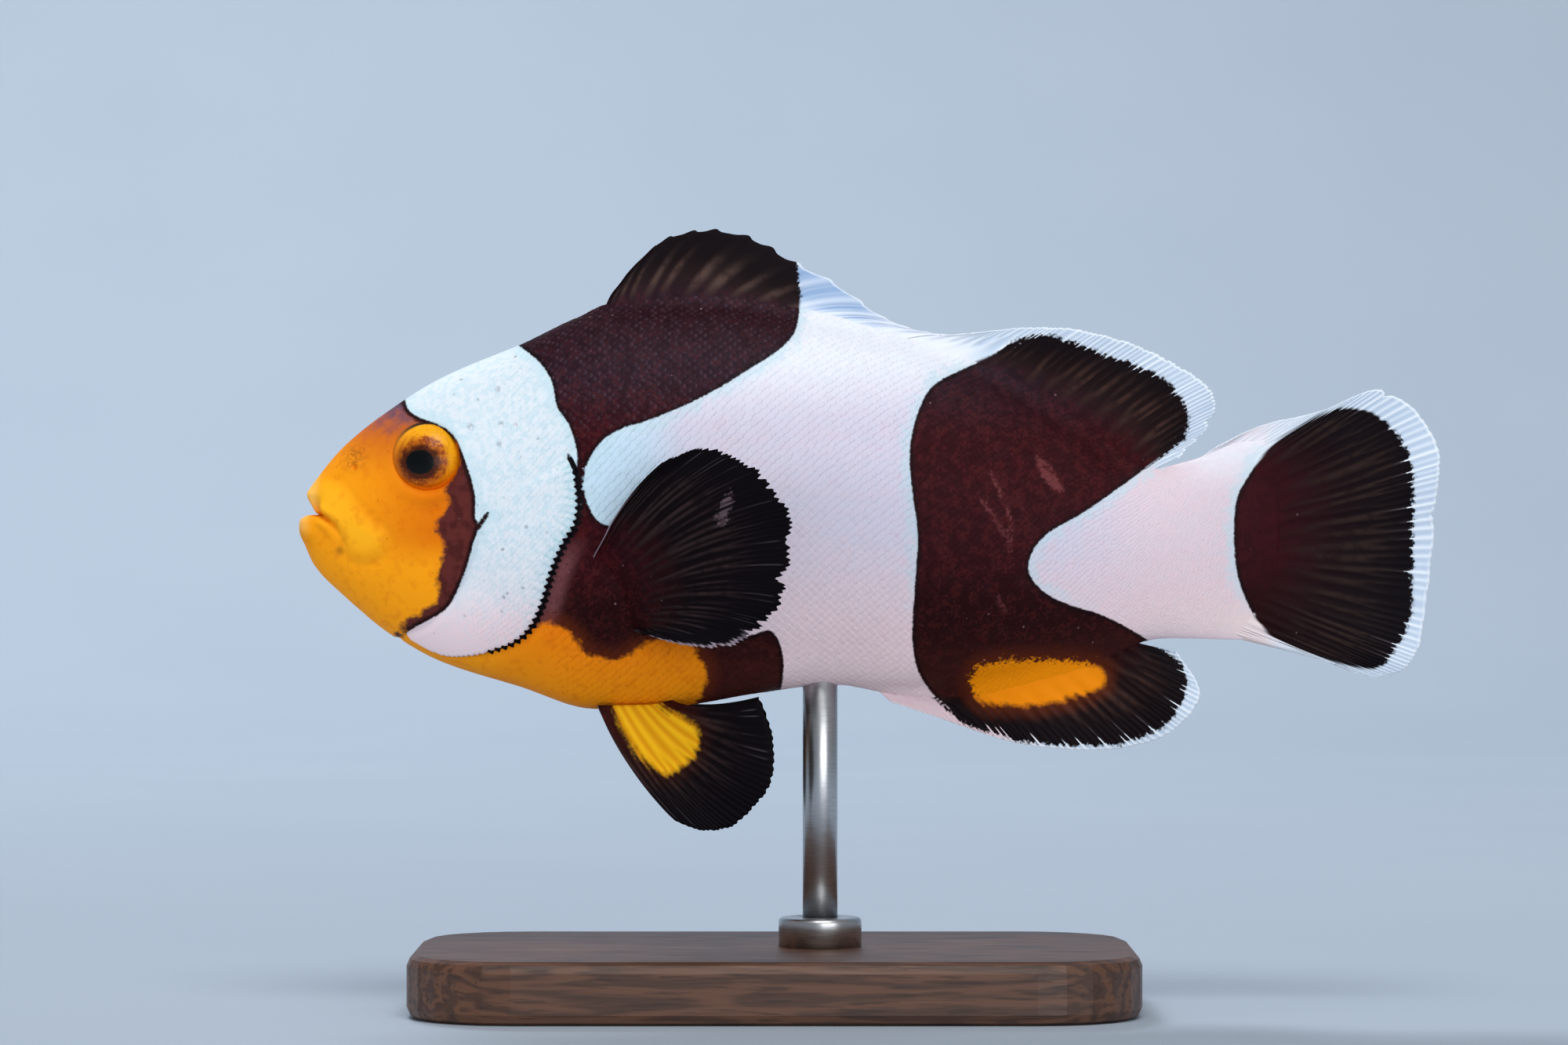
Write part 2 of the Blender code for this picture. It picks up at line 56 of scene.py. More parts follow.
MM = 0.001
VIEW_MIDDLE = (-6.3, 36.3)    # what the camera looks at, (x, z)
VIEW_DISTANCE = 420.0
FIRST_SPLIT = (0.30, 0.50)    # where along a soft ray it splits in two
SECOND_SPLIT = (0.60, 0.78)   # and in four
log = logging.getLogger("clownfish")


class Side(Enum):
    """A side of the fish, as the sign of Y on it."""

    LEFT = -1.0
    RIGHT = 1.0


# --- curves ---
def srgb(red: float, green: float, blue: float) -> Colour:
    """A colour given as 0 to 255 on a screen, as linear light.

    Args:
        red, green, blue: the screen's numbers.

    Returns:
        The linear colour: ((c + 0.055) / 1.055) ** 2.4, or c / 12.92 where c is dark.
    """
    linear = []
    for channel in (red, green, blue):
        share = channel / 255.0
        linear.append(share / 12.92 if share <= 0.04045 else ((share + 0.055) / 1.055) ** 2.4)
    return tuple(linear)


def profile(points: Points, xs: Array) -> Array:
    """Smooth heights through (x, z) points: cubic pieces that never overshoot.

    Args:
        points: the profile's own points, in order of x.
        xs: where to read it.

    Returns:
        The heights; each piece is a Hermite cubic whose slope at a point is the harmonic mean
        of its neighbours' slopes, or level at a turn.
    """
    px, pz = np.array(points, float).T
    step = np.diff(px)
    slope = np.diff(pz) / step
    tangent = np.empty_like(px)
    tangent[0], tangent[-1] = slope[0], slope[-1]
    same_way = slope[:-1] * slope[1:] > 0.0
    mean = 2.0 * slope[:-1] * slope[1:] / np.where(same_way, slope[:-1] + slope[1:], 1.0)
    tangent[1:-1] = np.where(same_way, mean, 0.0)
    xs = np.clip(np.asarray(xs, float), px[0], px[-1])
    i = np.clip(np.searchsorted(px, xs) - 1, 0, len(step) - 1)
    t = (xs - px[i]) / step[i]
    rise = t * t * (3.0 - 2.0 * t)
    return (pz[i] * (1.0 - rise) + pz[i + 1] * rise
            + step[i] * (tangent[i] * t * (1.0 - t) ** 2 - tangent[i + 1] * t * t * (1.0 - t)))


def fan(rows: Points, count: int) -> Array:
    """Rows of numbers made `count` rows long by a Catmull-Rom curve through them.

    Args:
        rows: the rows the curve passes through.
        count: how many rows to return.

    Returns:
        The rows, evenly spaced by number.
    """
    rows = np.array(rows, float)
    ends = np.vstack([2.0 * rows[0] - rows[1], rows, 2.0 * rows[-1] - rows[-2]])
    place = np.linspace(0.0, len(rows) - 1.0, count)
    i = np.minimum(place.astype(int), len(rows) - 2)
    t = (place - i)[:, None]
    a, b, c, d = ends[i], ends[i + 1], ends[i + 2], ends[i + 3]
    return 0.5 * (2.0 * b + (c - a) * t + (2.0 * a - 5.0 * b + 4.0 * c - d) * t ** 2
                  + (3.0 * b - a - 3.0 * c + d) * t ** 3)


def ease(value: Array, low: float, high: float) -> Array:
    """0 below low, 1 above high, and 3t^2 - 2t^3 between."""
    t = np.clip((value - low) / (high - low), 0.0, 1.0)
    return t * t * (3.0 - 2.0 * t)


def bell(value: Array, width: float) -> Array:
    """exp(-(value / width)^2)."""
    return np.exp(-(value / width) ** 2)


def drift(chance: np.random.Generator, u: Array, v: Array) -> Array:
    """Smooth random values.

    Args:
        chance: where the random numbers come from.
        u, v: places, both from 0 up.

    Returns:
        One value from 0 to 1 for each whole step of u and v, eased between them.
    """
    u, v = np.broadcast_arrays(u, v)
    table = chance.uniform(0.0, 1.0, (int(u.max()) + 3, int(v.max()) + 3))
    i, j = np.floor(u).astype(int), np.floor(v).astype(int)
    s, t = ease(u - i, 0.0, 1.0), ease(v - j, 0.0, 1.0)
    near = table[i, j] * (1.0 - s) + table[i + 1, j] * s
    far = table[i, j + 1] * (1.0 - s) + table[i + 1, j + 1] * s
    return near * (1.0 - t) + far * t


def to_line(x: Array, z: Array, line: Array) -> tuple[Array, Array]:
    """How far places lie from an open line, and how far along it.

    Args:
        x, z: the places.
        line: the line's corners, as rows of (x, z).

    Returns:
        The least distance to any straight stretch, and the run along the line to the nearest
        point of it.
    """
    best = np.full(np.shape(x), 1e9)
    run = np.zeros(np.shape(x))
    start = 0.0
    for (ax, az), (bx, bz) in zip(line[:-1], line[1:]):
        dx, dz = bx - ax, bz - az
        length = math.hypot(dx, dz)
        t = np.clip(((x - ax) * dx + (z - az) * dz) / max(length ** 2, 1e-12), 0.0, 1.0)
        gap = np.hypot(x - ax - t * dx, z - az - t * dz)
        nearer = gap < best
        best = np.where(nearer, gap, best)
        run = np.where(nearer, start + t * length, run)
        start += length
    return best, run


def inside(x: Array, z: Array, outline: Array) -> Array:
    """Signed distance to a closed outline: above 0 inside it, below 0 outside.

    Args:
        x, z: the places.
        outline: the outline's corners, the last joined to the first.

    Returns:
        The distance, with its sign from how often a line going to +X crosses the outline.
    """
    ring = np.vstack([outline, outline[:1]])
    gap, _ = to_line(x, z, ring)
    within = np.zeros(np.shape(x), bool)
    for (ax, az), (bx, bz) in zip(ring[:-1], ring[1:]):
        if az != bz:
            crosses = (az > z) != (bz > z)
            within ^= crosses & (x < ax + (z - az) * (bx - ax) / (bz - az))
    return np.where(within, gap, -gap)


# --- meshes ---
def grid_faces(rows: int, columns: int, first: int = 0, closed: bool = False) -> Array:
    """Quads of a grid of points stored row by row.

    Args:
        rows, columns: the grid's size.
        first: the number of its first point.
        closed: True to join its last column to its first.

    Returns:
        Rows of four point numbers.
    """
    i, j = np.meshgrid(np.arange(rows - 1), np.arange(columns if closed else columns - 1),
                       indexing="ij")
    ahead = (j + 1) % columns
    quads = np.stack([i * columns + j, i * columns + ahead, (i + 1) * columns + ahead,
                      (i + 1) * columns + j], axis=-1)
    return quads.reshape(-1, 4) + first


def grid_normals(points: Array) -> Array:
    """Unit normals of a grid of points: the cross product of its two directions' slopes.

    Args:
        points: the grid, by row and column.

    Returns:
        A unit vector for each point.
    """
    across = np.gradient(points, axis=1)
    along = np.gradient(points, axis=0)
    normal = np.cross(across, along)
    return normal / np.maximum(np.linalg.norm(normal, axis=-1, keepdims=True), 1e-9)


def placed(name: str, data: bpy.types.ID) -> bpy.types.Object:
    """A new object in the scene, at the origin.

    Args:
        name: its name.
        data: its mesh, lamp or camera.

    Returns:
        The object.
    """
    thing = bpy.data.objects.new(name, data)
    bpy.context.collection.objects.link(thing)
    return thing


@dataclass
class Piece:
    """A mesh to be: its points in millimetres, its faces and what its paint reads.

    Attributes:
        name: the piece's name.
        points: (x, y, z) of each point, as rows or as a grid; fields and uv match it.
        quads, triangles: corner numbers of the faces.
        fields: numbers for each point, by attribute name.
        uv: the OFBake map's place for each point, where there is one.
    """

    name: str
    points: Array
    quads: Array
    triangles: Array = field(default_factory=lambda: np.zeros((0, 3), int))
    fields: dict[str, Array] = field(default_factory=dict)
    uv: Optional[Array] = None

    def build(self, material: bpy.types.Material, slot: str, nodes: Sequence[str] = (),
              weld: float = 0.0) -> None:
        """Makes the object, dresses it and lets it ride on the part.

        Args:
            material: its finish.
            slot: the record's material slot for this piece; not used.
            nodes: the solids it stands for.
            weld: points nearer than this many millimetres are merged.
        """
        mesh = bpy.data.meshes.new(self.name)
        faces = [*self.quads.tolist(), *self.triangles.tolist()]
        mesh.from_pydata((self.points.reshape(-1, 3) * MM).tolist(), [], faces)
        for name, values in self.fields.items():
            layer = mesh.attributes.new(name, "FLOAT", "POINT")
            layer.data.foreach_set("value", np.ascontiguousarray(values, dtype=np.float32).ravel())
        if self.uv is not None:
            corners = np.concatenate([self.quads.ravel(), self.triangles.ravel()])
            layer = mesh.uv_layers.new(name="OFBake")
            places = self.uv.reshape(-1, 2)[corners]
            layer.data.foreach_set("uv", places.astype(np.float32).ravel())
        mesh.materials.append(material)
        thing = placed(self.name, mesh)
        if weld:
            self.weld(mesh, weld)
        mesh.polygons.foreach_set("use_smooth", np.full(len(mesh.polygons), True))
        mesh.update()
        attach(thing, "root")
        if nodes:
            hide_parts(*nodes)
        log.info("%s: %d faces", self.name, len(mesh.polygons))

    @staticmethod
    def weld(mesh: bpy.types.Mesh, distance: float) -> None:
        """Merges the mesh's points closer than distance millimetres and turns its faces out.

        Args:
            mesh: the mesh, changed in place.
            distance: points nearer than this many millimetres are merged.
        """
        work = bmesh.new()
        work.from_mesh(mesh)
        bmesh.ops.remove_doubles(work, verts=work.verts, dist=distance * MM)
        bmesh.ops.recalc_face_normals(work, faces=work.faces)
        work.to_mesh(mesh)
        work.free()


# --- finishes ---
class Recipe:
    """The node sheet of one material, with short words for the usual steps."""

    def __init__(self, name: str) -> None:
        """An empty sheet with a Principled shader; all places on it are in millimetres.

        Args:
            name: the material's name.
        """
        self.material = bpy.data.materials.new(name)
        self.material.use_nodes = True
        self.nodes = self.material.node_tree.nodes
        self.links = self.material.node_tree.links
        self.shader = self.nodes["Principled BSDF"]
        place = self.node("TexCoord", {}).outputs["Object"]
        scale = (1.0 / MM,) * 3
        self.place = self.node("Mapping", {"Vector": place, "Scale": scale}).outputs["Vector"]

    def feed(self, socket: Socket, value: object) -> None:
        """Links a socket to another's output, or sets its number or colour.

        Args:
            socket: the socket to fill.
            value: what goes into it.
        """
        if isinstance(value, bpy.types.NodeSocket):
            self.links.new(value, socket)
        elif isinstance(value, tuple) and len(value) == 3 and socket.type == "RGBA":
            socket.default_value = (*value, 1.0)
        else:
            socket.default_value = value

    def node(self, kind: str, inputs: dict, **settings: object) -> bpy.types.Node:
        """A new node.

        Args:
            kind: the last part of its type's name.
            inputs: what its sockets get, by name or number.
            settings: its own settings.

        Returns:
            The node.
        """
        node = self.nodes.new("ShaderNode" + kind)
        for name, value in settings.items():
            setattr(node, name, value)
        for name, value in inputs.items():
            self.feed(node.inputs[name], value)
        return node

    def sum(self, operation: str, first: object, second: object = 0.0,
            third: object = 0.0, clamp: bool = False) -> Socket:
        """One step of arithmetic, by the Math node's own name for it."""
        inputs = {0: first, 1: second, 2: third}
        return self.node("Math", inputs, operation=operation, use_clamp=clamp).outputs[0]

    def plus(self, base: object, value: object, times: object = 1.0) -> Socket:
        """base + value * times."""
        return self.sum("MULTIPLY_ADD", value, times, base)

    def less(self, first: object, second: object) -> Socket:
        """first - second."""
        return self.sum("SUBTRACT", first, second)

    def most(self, first: object, second: object) -> Socket:
        """The larger of two values."""
        return self.sum("MAXIMUM", first, second)

    def product(self, *factors: object) -> object:
        """The factors multiplied together."""
        return reduce(lambda result, factor: self.sum("MULTIPLY", result, factor), factors)

    def mask(self, *parts: object) -> object:
        """The parts multiplied; a part (value, low, high) stands for its ramp."""
        return self.product(*(self.ramp(*part) if isinstance(part, tuple) else part
                              for part in parts))

    def layers(self, base: object, *coats: tuple) -> object:
        """Colours laid one over another.

        Args:
            base: the first colour.
            coats: for each further colour, the colour and then the parts of its mask.

        Returns:
            The colour seen.
        """
        for colour, *parts in coats:
            base = self.blend(self.mask(*parts), base, colour)
        return base

    def spot(self, x: float, z: float, radius: float) -> Socket:
        """1 at a place in the side view, falling to 0 a radius away from it.

        Args:
            x, z: the place.
            radius: where it ends.

        Returns:
            The spot.
        """
        across, up = self.less(self.axis("X"), x), self.less(self.axis("Z"), z)
        gap = self.sum("SQRT", self.plus(self.product(across, across), up, up))
        return self.ramp(gap, radius, 0.0)

    def field(self, name: str) -> Socket:
        """The value of a point attribute."""
        return self.node("Attribute", {}, attribute_name=name).outputs["Fac"]

    def axis(self, letter: str) -> Socket:
        """One of the place's coordinates, in millimetres."""
        return self.node("SeparateXYZ", {0: self.place}).outputs[letter]

    def noise(self, scale: float, detail: float = 2.0, stretch: Colour = (1.0, 1.0, 1.0),
              rough: float = 0.5) -> Socket:
        """Noise of so many waves a millimetre, drawn out along an axis of stretch below 1.

        Args:
            scale: waves a millimetre.
            detail, rough: how much finer noise is in it.
            stretch: the scale's share on each axis.

        Returns:
            Values about 0.5.
        """
        place = self.node("Mapping", {"Vector": self.place, "Scale": stretch}).outputs[0]
        inputs = {"Vector": place, "Scale": scale, "Detail": detail, "Roughness": rough}
        return self.node("TexNoise", inputs).outputs["Fac"]

    def dots(self, scale: float, low: float, high: float) -> Socket:
        """1 in small round dots, one in each cell of a Voronoi pattern, else 0."""
        cells = self.node("TexVoronoi", {"Vector": self.place, "Scale": scale})
        return self.ramp(cells.outputs["Distance"], high, low)

    def ramp(self, value: object, low: float, high: float) -> Socket:
        """A smooth step, 3t^2 - 2t^3.

        Args:
            value: what is ramped.
            low, high: where the step is 0 and 1, whichever is the larger.

        Returns:
            The step.
        """
        turned = low > high
        inputs = {"Value": value, "From Min": min(low, high), "From Max": max(low, high),
                  "To Min": float(turned), "To Max": float(not turned)}
        return self.node("MapRange", inputs, interpolation_type="SMOOTHSTEP").outputs["Result"]

    def blend(self, share: object, first: object, second: object) -> Socket:
        """The first colour where share is 0 and the second where it is 1."""
        inputs = {"Factor": share, "A": first, "B": second}
        return self.node("Mix", inputs, data_type="RGBA").outputs["Result"]

    def relief(self, height: Socket, depth: float, strength: float = 1.0) -> None:
        """Bumps on the shader's surface, `depth` millimetres for a height of 1."""
        inputs = {"Strength": strength, "Distance": depth * MM, "Height": height}
        self.links.new(self.node("Bump", inputs).outputs[0], self.shader.inputs["Normal"])

    def set(self, **values: object) -> None:
        """Sets the shader's sockets by name, with _ for a space."""
        for name, value in values.items():
            self.feed(self.shader.inputs[name.replace("_", " ")], value)


SNOUT_ORANGE = srgb(242, 152, 18)
CHEEK_ORANGE = srgb(222, 116, 10)
LIP_ORANGE = srgb(252, 180, 32)
# painted fill light: a brighter orange for the lower face, which the lamps leave in shade
PAINTED_FILL_JAW_ORANGE = srgb(255, 164, 20)
# painted highlight: the pale orange of a rim light along the lips
PAINTED_LIP_HIGHLIGHT_ORANGE = srgb(255, 198, 104)
BELLY_ORANGE = srgb(232, 110, 6)
MOTTLE_ORANGE = srgb(208, 90, 8)
PATCH_ORANGE = srgb(255, 152, 10)
# painted fill light: the orange laid where the surface faces down
PAINTED_FILL_ORANGE = srgb(255, 160, 22)
FIN_ORANGE = srgb(246, 142, 12)
FIN_OCHRE = srgb(206, 124, 6)
FIN_YELLOW = srgb(242, 186, 26)
FOREHEAD_RED = srgb(196, 98, 30)
FOREHEAD_GREY = srgb(88, 70, 92)
BLOTCH_BROWN = srgb(136, 72, 26)
FRECKLE_BROWN = srgb(112, 50, 14)
HEAD_WHITE = srgb(216, 225, 232)
CLOUD_WHITE = srgb(184, 212, 224)
CYAN_WHITE = srgb(190, 216, 226)
STROKE_WHITE = srgb(150, 196, 206)
LOBE_WHITE = srgb(182, 214, 238)
BODY_WHITE = srgb(210, 205, 222)
BLUSH_WHITE = srgb(226, 196, 210)
TAIL_WHITE = srgb(222, 201, 208)
CREAM_WHITE = srgb(228, 213, 203)
LOW_WHITE = srgb(230, 202, 207)
# painted fill light: the white laid where the surface faces down
PAINTED_FILL_WHITE = srgb(252, 228, 232)
TOP_WHITE = srgb(230, 233, 242)
SPECK_GREY = srgb(120, 128, 142)
SADDLE_BROWN = srgb(42, 27, 39)
SADDLE_RIM = srgb(108, 88, 104)
SHADE_BROWN = srgb(96, 62, 68)
CHEEK_BROWN = srgb(92, 41, 38)
WINE_BROWN = srgb(52, 10, 18)
DEEP_BROWN = srgb(34, 7, 9)
RUST_BROWN = srgb(92, 34, 30)
HALO_BROWN = srgb(112, 46, 14)
# painted fill light: the brown laid where the surface faces down
PAINTED_FILL_BROWN = srgb(88, 44, 40)
LINE_BLACK = srgb(9, 7, 12)
STRIP_PINK = srgb(112, 66, 70)
SCAR_PINK = srgb(116, 58, 60)
SCAR_GREY = srgb(104, 86, 92)
FLECK_PINK = srgb(186, 150, 156)
TIP_GREY = srgb(150, 140, 148)
# painted highlight: the pale grey line on a dark fin's foremost ray and hind edge
PAINTED_HIGHLIGHT_GREY = srgb(176, 160, 172)


class FishRecipe(Recipe):
    """A sheet that starts with what all of the fish's paint shares."""

    def __init__(self, name: str) -> None:
        """Adds the places x and z, a coarse mottle, a fine grain, and both about zero.

        Args:
            name: the material's name.
        """
        super().__init__(name)
        self.x, self.z = self.axis("X"), self.axis("Z")
        self.mottle, self.grain = self.noise(1.3, 4.0), self.noise(4.2, 3.0)
        self.fringe = self.less(self.mottle, 0.5)
        self.fine = self.less(self.grain, 0.5)


@dataclass(frozen=True)
class FishPaint:
    """The fish's colours, laid over any piece that carries the markings' fields.

    Places are in millimetres. Each colour is laid over those above it, by its mask.

    Attributes:
        name: the material's name.
        roughness: of the wet-looking surface.
        scaly: True for scales, whose rims are toned and which differ a little in shade.
        bump: depth of the fine grain.
        halo_share: how much the brown is warmed beside the orange.
        tooth_pitch, tooth_depth: the gill cover's dark teeth.
    """

    name: str
    roughness: float = 0.55
    scaly: bool = False
    bump: float = 0.02
    halo_share: float = 0.45
    tooth_pitch: float = 0.53
    tooth_depth: float = 0.13

    def oranges(self, r: FishRecipe) -> Socket:
        """Orange from snout to belly, with the brighter jaw strap and the greyed crown; the lower
        face and the faces turned down are lightened as painted fill light, and the lips' front
        carries a painted highlight.

        Args:
            r: the sheet.

        Returns:
            The colour.
        """
        x, z = r.x, r.z
        # lips: the lips' front, which gets a painted highlight that also paints over the shade in
        # the open mouth's hollow
        lips = r.most(r.mask((x, -40.7, -41.5), (z, 36.7, 37.2)),
                      r.mask((x, -41.3, -42.3), (z, 35.0, 36.1)))
        height = r.plus(z, r.fringe, 3.0)
        blotch = r.most(r.mask(r.spot(-38.3, 41.2, 1.5), (r.grain, 0.40, 0.62), 0.60),
                        r.mask(r.spot(-39.3, 34.2, 0.55), 0.6))
        return r.layers(
            SNOUT_ORANGE,
            (CHEEK_ORANGE, (x, -39.5, -31.5)),
            (FOREHEAD_RED, (z, 39.0, 44.0), (x, -41.5, -37.5)),
            (LIP_ORANGE, (r.field("strap"), -1.0, 1.0), 0.8),
            # painted fill light: the orange lightened low on the face
            (PAINTED_FILL_JAW_ORANGE, (z, 35.5, 32.5), 0.9),
            # painted highlight along the lips' front
            (PAINTED_LIP_HIGHLIGHT_ORANGE, lips, 0.6),
            (BELLY_ORANGE, (x, -29.5, -26.5)),
            # painted fill light: lighter where the surface faces down
            (PAINTED_FILL_ORANGE, (r.field("facing"), 0.0, -0.8), 0.8),
            (MOTTLE_ORANGE, (r.mottle, 0.50, 0.68), 0.22),
            (PATCH_ORANGE, (x, 2.0, 6.0)),
            (FOREHEAD_GREY, (height, 42.2, 45.6), (x, -39.5, -36.0), (x, -30.0, -33.0)),
            (BLOTCH_BROWN, blotch),
            (FRECKLE_BROWN, r.dots(1.3, 0.06, 0.13), (r.mottle, 0.50, 0.62), 0.38))

    def browns(self, r: FishRecipe) -> Socket:
        """Brown from the purplish saddle to the nearly black belly, with a few marks, painted shade
        where it faces up and painted fill light where it faces down.

        Args:
            r: the sheet.

        Returns:
            The colour.
        """
        x, z, facing, gill = r.x, r.z, r.field("facing"), r.field("gill")
        rust = r.plus(r.mottle, r.fine, 1.2)
        scar = r.plus(r.field("scar"), r.fine, 0.9)
        return r.layers(
            SADDLE_BROWN,
            (WINE_BROWN, (z, 48.0, 42.0)),
            (DEEP_BROWN, (z, 35.0, 29.0)),
            (RUST_BROWN, (rust, 0.54, 0.34), (x, 30.0, 24.0), 0.26),
            (CHEEK_BROWN, (x, -27.0, -30.0)),
            (DEEP_BROWN, (r.mottle, 0.42, 0.62), 0.42),
            # painted shade: darker where the surface faces up, towards the lamps above
            (DEEP_BROWN, (facing, 0.25, 0.9), 0.55),
            # painted fill light: lighter where the surface faces down
            (PAINTED_FILL_BROWN, (facing, -0.2, -0.9), 0.45),
            (SCAR_PINK, (scar, -0.14, 0.20), (r.mottle, 0.28, 0.50), 0.75),
            (STRIP_PINK, (gill, -1.9, -0.8), (gill, 0.6, 0.2), (z, 35.6, 33.0),
             (r.grain, 0.05, 0.55), 0.85),
            (FLECK_PINK, r.dots(0.75, 0.03, 0.10), (r.mottle, 0.53, 0.58), 0.45))

    def whites(self, r: FishRecipe) -> Socket:
        """White: cool and mottled on the head, lavender on the body and pinkish low down, and
        lightened where it faces down as painted fill light.

        Args:
            r: the sheet.

        Returns:
            The colour.
        """
        x, z, gill = r.x, r.z, r.field("gill")
        low = r.sum("MULTIPLY", r.plus(r.ramp(z, 37.0, 26.0), r.fringe, 0.6),
                    r.ramp(x, -13.0, -4.0), clamp=True)
        blush = r.noise(1.5, 4.0, (0.35, 1.0, 1.0), rough=0.6)
        head = r.ramp(x, -13.5, -19.0)
        clouds = r.noise(2.1, 4.0, rough=0.6)
        strokes = r.sum("SINE", r.product(r.plus(r.field("gill_run"), r.fringe, 0.8), 10.0))
        specks = r.mask(r.dots(0.85, 0.05, 0.17), (x, -21.5, -23.5), (r.mottle, 0.45, 0.54), 0.6)
        for place_x, place_z, radius in ((-27.5, 46.2, 0.34), (-27.2, 43.6, 0.30),
                                         (-27.3, 42.1, 0.36), (-29.5, 43.4, 0.42),
                                         (-26.1, 43.5, 0.26)):
            spot = r.mask(r.spot(place_x, place_z, radius), (r.grain, 0.30, 0.60), 0.6)
            specks = r.most(specks, spot)
        return r.layers(
            TOP_WHITE,
            (BODY_WHITE, (z, 49.0, 43.0)),
            (TAIL_WHITE, (x, 14.0, 22.0), 0.8),
            (LOW_WHITE, low),
            (CREAM_WHITE, (x, 18.0, 25.0), (z, 31.5, 28.5), 0.55),
            (TOP_WHITE, (x, 22.0, 26.0), (z, 38.0, 41.5), 0.7),
            (BLUSH_WHITE, (blush, 0.42, 0.64), (z, 48.0, 43.0), 0.18),
            (HEAD_WHITE, head),
            (LOBE_WHITE, (x, -12.0, -17.5), (x, -21.75, -21.4), (z, 46.0, 41.5), 0.65),
            (LOW_WHITE, (z, 31.6, 27.6), (x, -21.0, -23.0)),
            (CYAN_WHITE, (r.plus(r.field("white"), r.fringe, 2.4), 1.1, 0.1),
             (z, 28.5, 32.0), 0.6),
            (CLOUD_WHITE, (clouds, 0.44, 0.60), r.plus(0.08, head, 0.45)),
            (STROKE_WHITE, (strokes, 0.1, 1.0), (gill, 1.7, 0.3), (gill, 0.0, 0.2),
             r.field("gill_edge"), 0.55),
            # painted fill light: lighter where the surface faces down
            (PAINTED_FILL_WHITE, (r.field("facing"), 0.0, -0.7), 0.9),
            (SPECK_GREY, specks))

    def halo(self, r: FishRecipe, warm: Socket) -> Socket:
        """How far the brown is warmed beside the orange of the belly and of the anal patch."""
        return r.mask((warm, -1.5, -0.1), (r.x, -27.0, -25.0), self.halo_share)

    def colours(self, r: FishRecipe) -> Socket:
        """The painted colour at every place, from the markings' fields.

        Args:
            r: the sheet.

        Returns:
            The colour.
        """
        gill, run = r.field("gill"), r.field("gill_run")
        edge = r.plus(r.field("white"), r.fine, 0.20)
        warm = r.plus(r.field("orange"), r.fringe, 1.2)
        warm = r.plus(warm, r.fine, r.plus(0.3, r.ramp(r.x, 0.0, 4.0), 1.3))
        border = r.plus(0.62, r.ramp(r.x, -20.0, -26.0), 0.2)
        teeth = r.sum("SINE", r.product(run, 2.0 * math.pi / self.tooth_pitch))
        teeth = r.mask(teeth, (run, 0.7, 2.2), self.tooth_depth)
        return r.layers(
            self.browns(r),
            (HALO_BROWN, self.halo(r, warm)),
            (self.oranges(r), (warm, -0.26, 0.24)),
            (LINE_BLACK, (edge, -0.42, -0.16), (warm, 0.35, -0.10), border),
            (self.whites(r), (edge, -0.07, 0.07)),
            (LINE_BLACK, (r.sum("ADD", gill, teeth), 0.15, 0.08),
             (r.less(gill, teeth), -0.33, -0.25), r.field("gill_edge")))

    def rims(self, r: FishRecipe, colour: Socket) -> Socket:
        """The colour toned at the scales' rims: clearly on the saddle, hardly on the white.

        Args:
            r: the sheet.
            colour: the colour so far.

        Returns:
            The toned colour.
        """
        back = r.mask((r.x, 4.0, -4.0), (r.z, 40.0, 46.0))
        dark = r.mask((r.field("white"), 0.0, -0.2), (r.field("orange"), 0.0, -0.3),
                      r.plus(0.015, back, 0.24))
        return r.layers(
            colour,
            (SADDLE_RIM, dark, (r.field("tip"), 0.62, 0.98), (r.noise(1.7, 3.0), 0.35, 0.65)),
            (SHADE_BROWN, r.field("shade"), 0.035))

    def material(self) -> bpy.types.Material:
        """The finished material.

        Returns:
            The material.
        """
        r = FishRecipe(self.name)
        colour = self.colours(r)
        if self.scaly:
            colour = self.rims(r, colour)
        r.set(Base_Color=colour, Roughness=self.roughness)
        r.shader.inputs["Specular IOR Level"].default_value = 0.06
        r.relief(r.noise(4.0, 4.0), self.bump)
        return r.material


class FinRecipe(FishRecipe):
    """A sheet that also starts with a fin's own fields and the comb of its rays."""

    def __init__(self, name: str, branched: bool) -> None:
        """Adds ray, along, margin and strand, the comb, and two mixes about zero.

        Args:
            name: the material's name.
            branched: True where the rays split in two and then in four.
        """
        super().__init__(name)
        self.ray, self.along = self.field("ray"), self.field("along")
        self.margin, self.strand = self.field("edge"), self.field("strand")
        self.comb = self.rays(branched)
        self.off = self.less(self.strand, 0.5)
        self.rough = self.sum("ADD", self.fringe, self.fine)

    def wave(self, turns: float, half: float) -> Socket:
        """0.5 + half * cos(turns * pi * ray)."""
        return self.plus(0.5, self.sum("COSINE", self.product(self.ray, turns * math.pi)), half)

    def rays(self, branched: bool) -> Socket:
        """1 on a ray and 0 midway between: a squared cosine, of 2 and then 4 branches.

        Args:
            branched: True where the rays split.

        Returns:
            The comb.
        """
        stem = self.wave(2.0, 0.5)
        if not branched:
            return stem
        return self.layers(stem, (self.wave(4.0, -0.5), (self.along, *FIRST_SPLIT)),
                           (self.wave(8.0, -0.5), (self.along, *SECOND_SPLIT)))


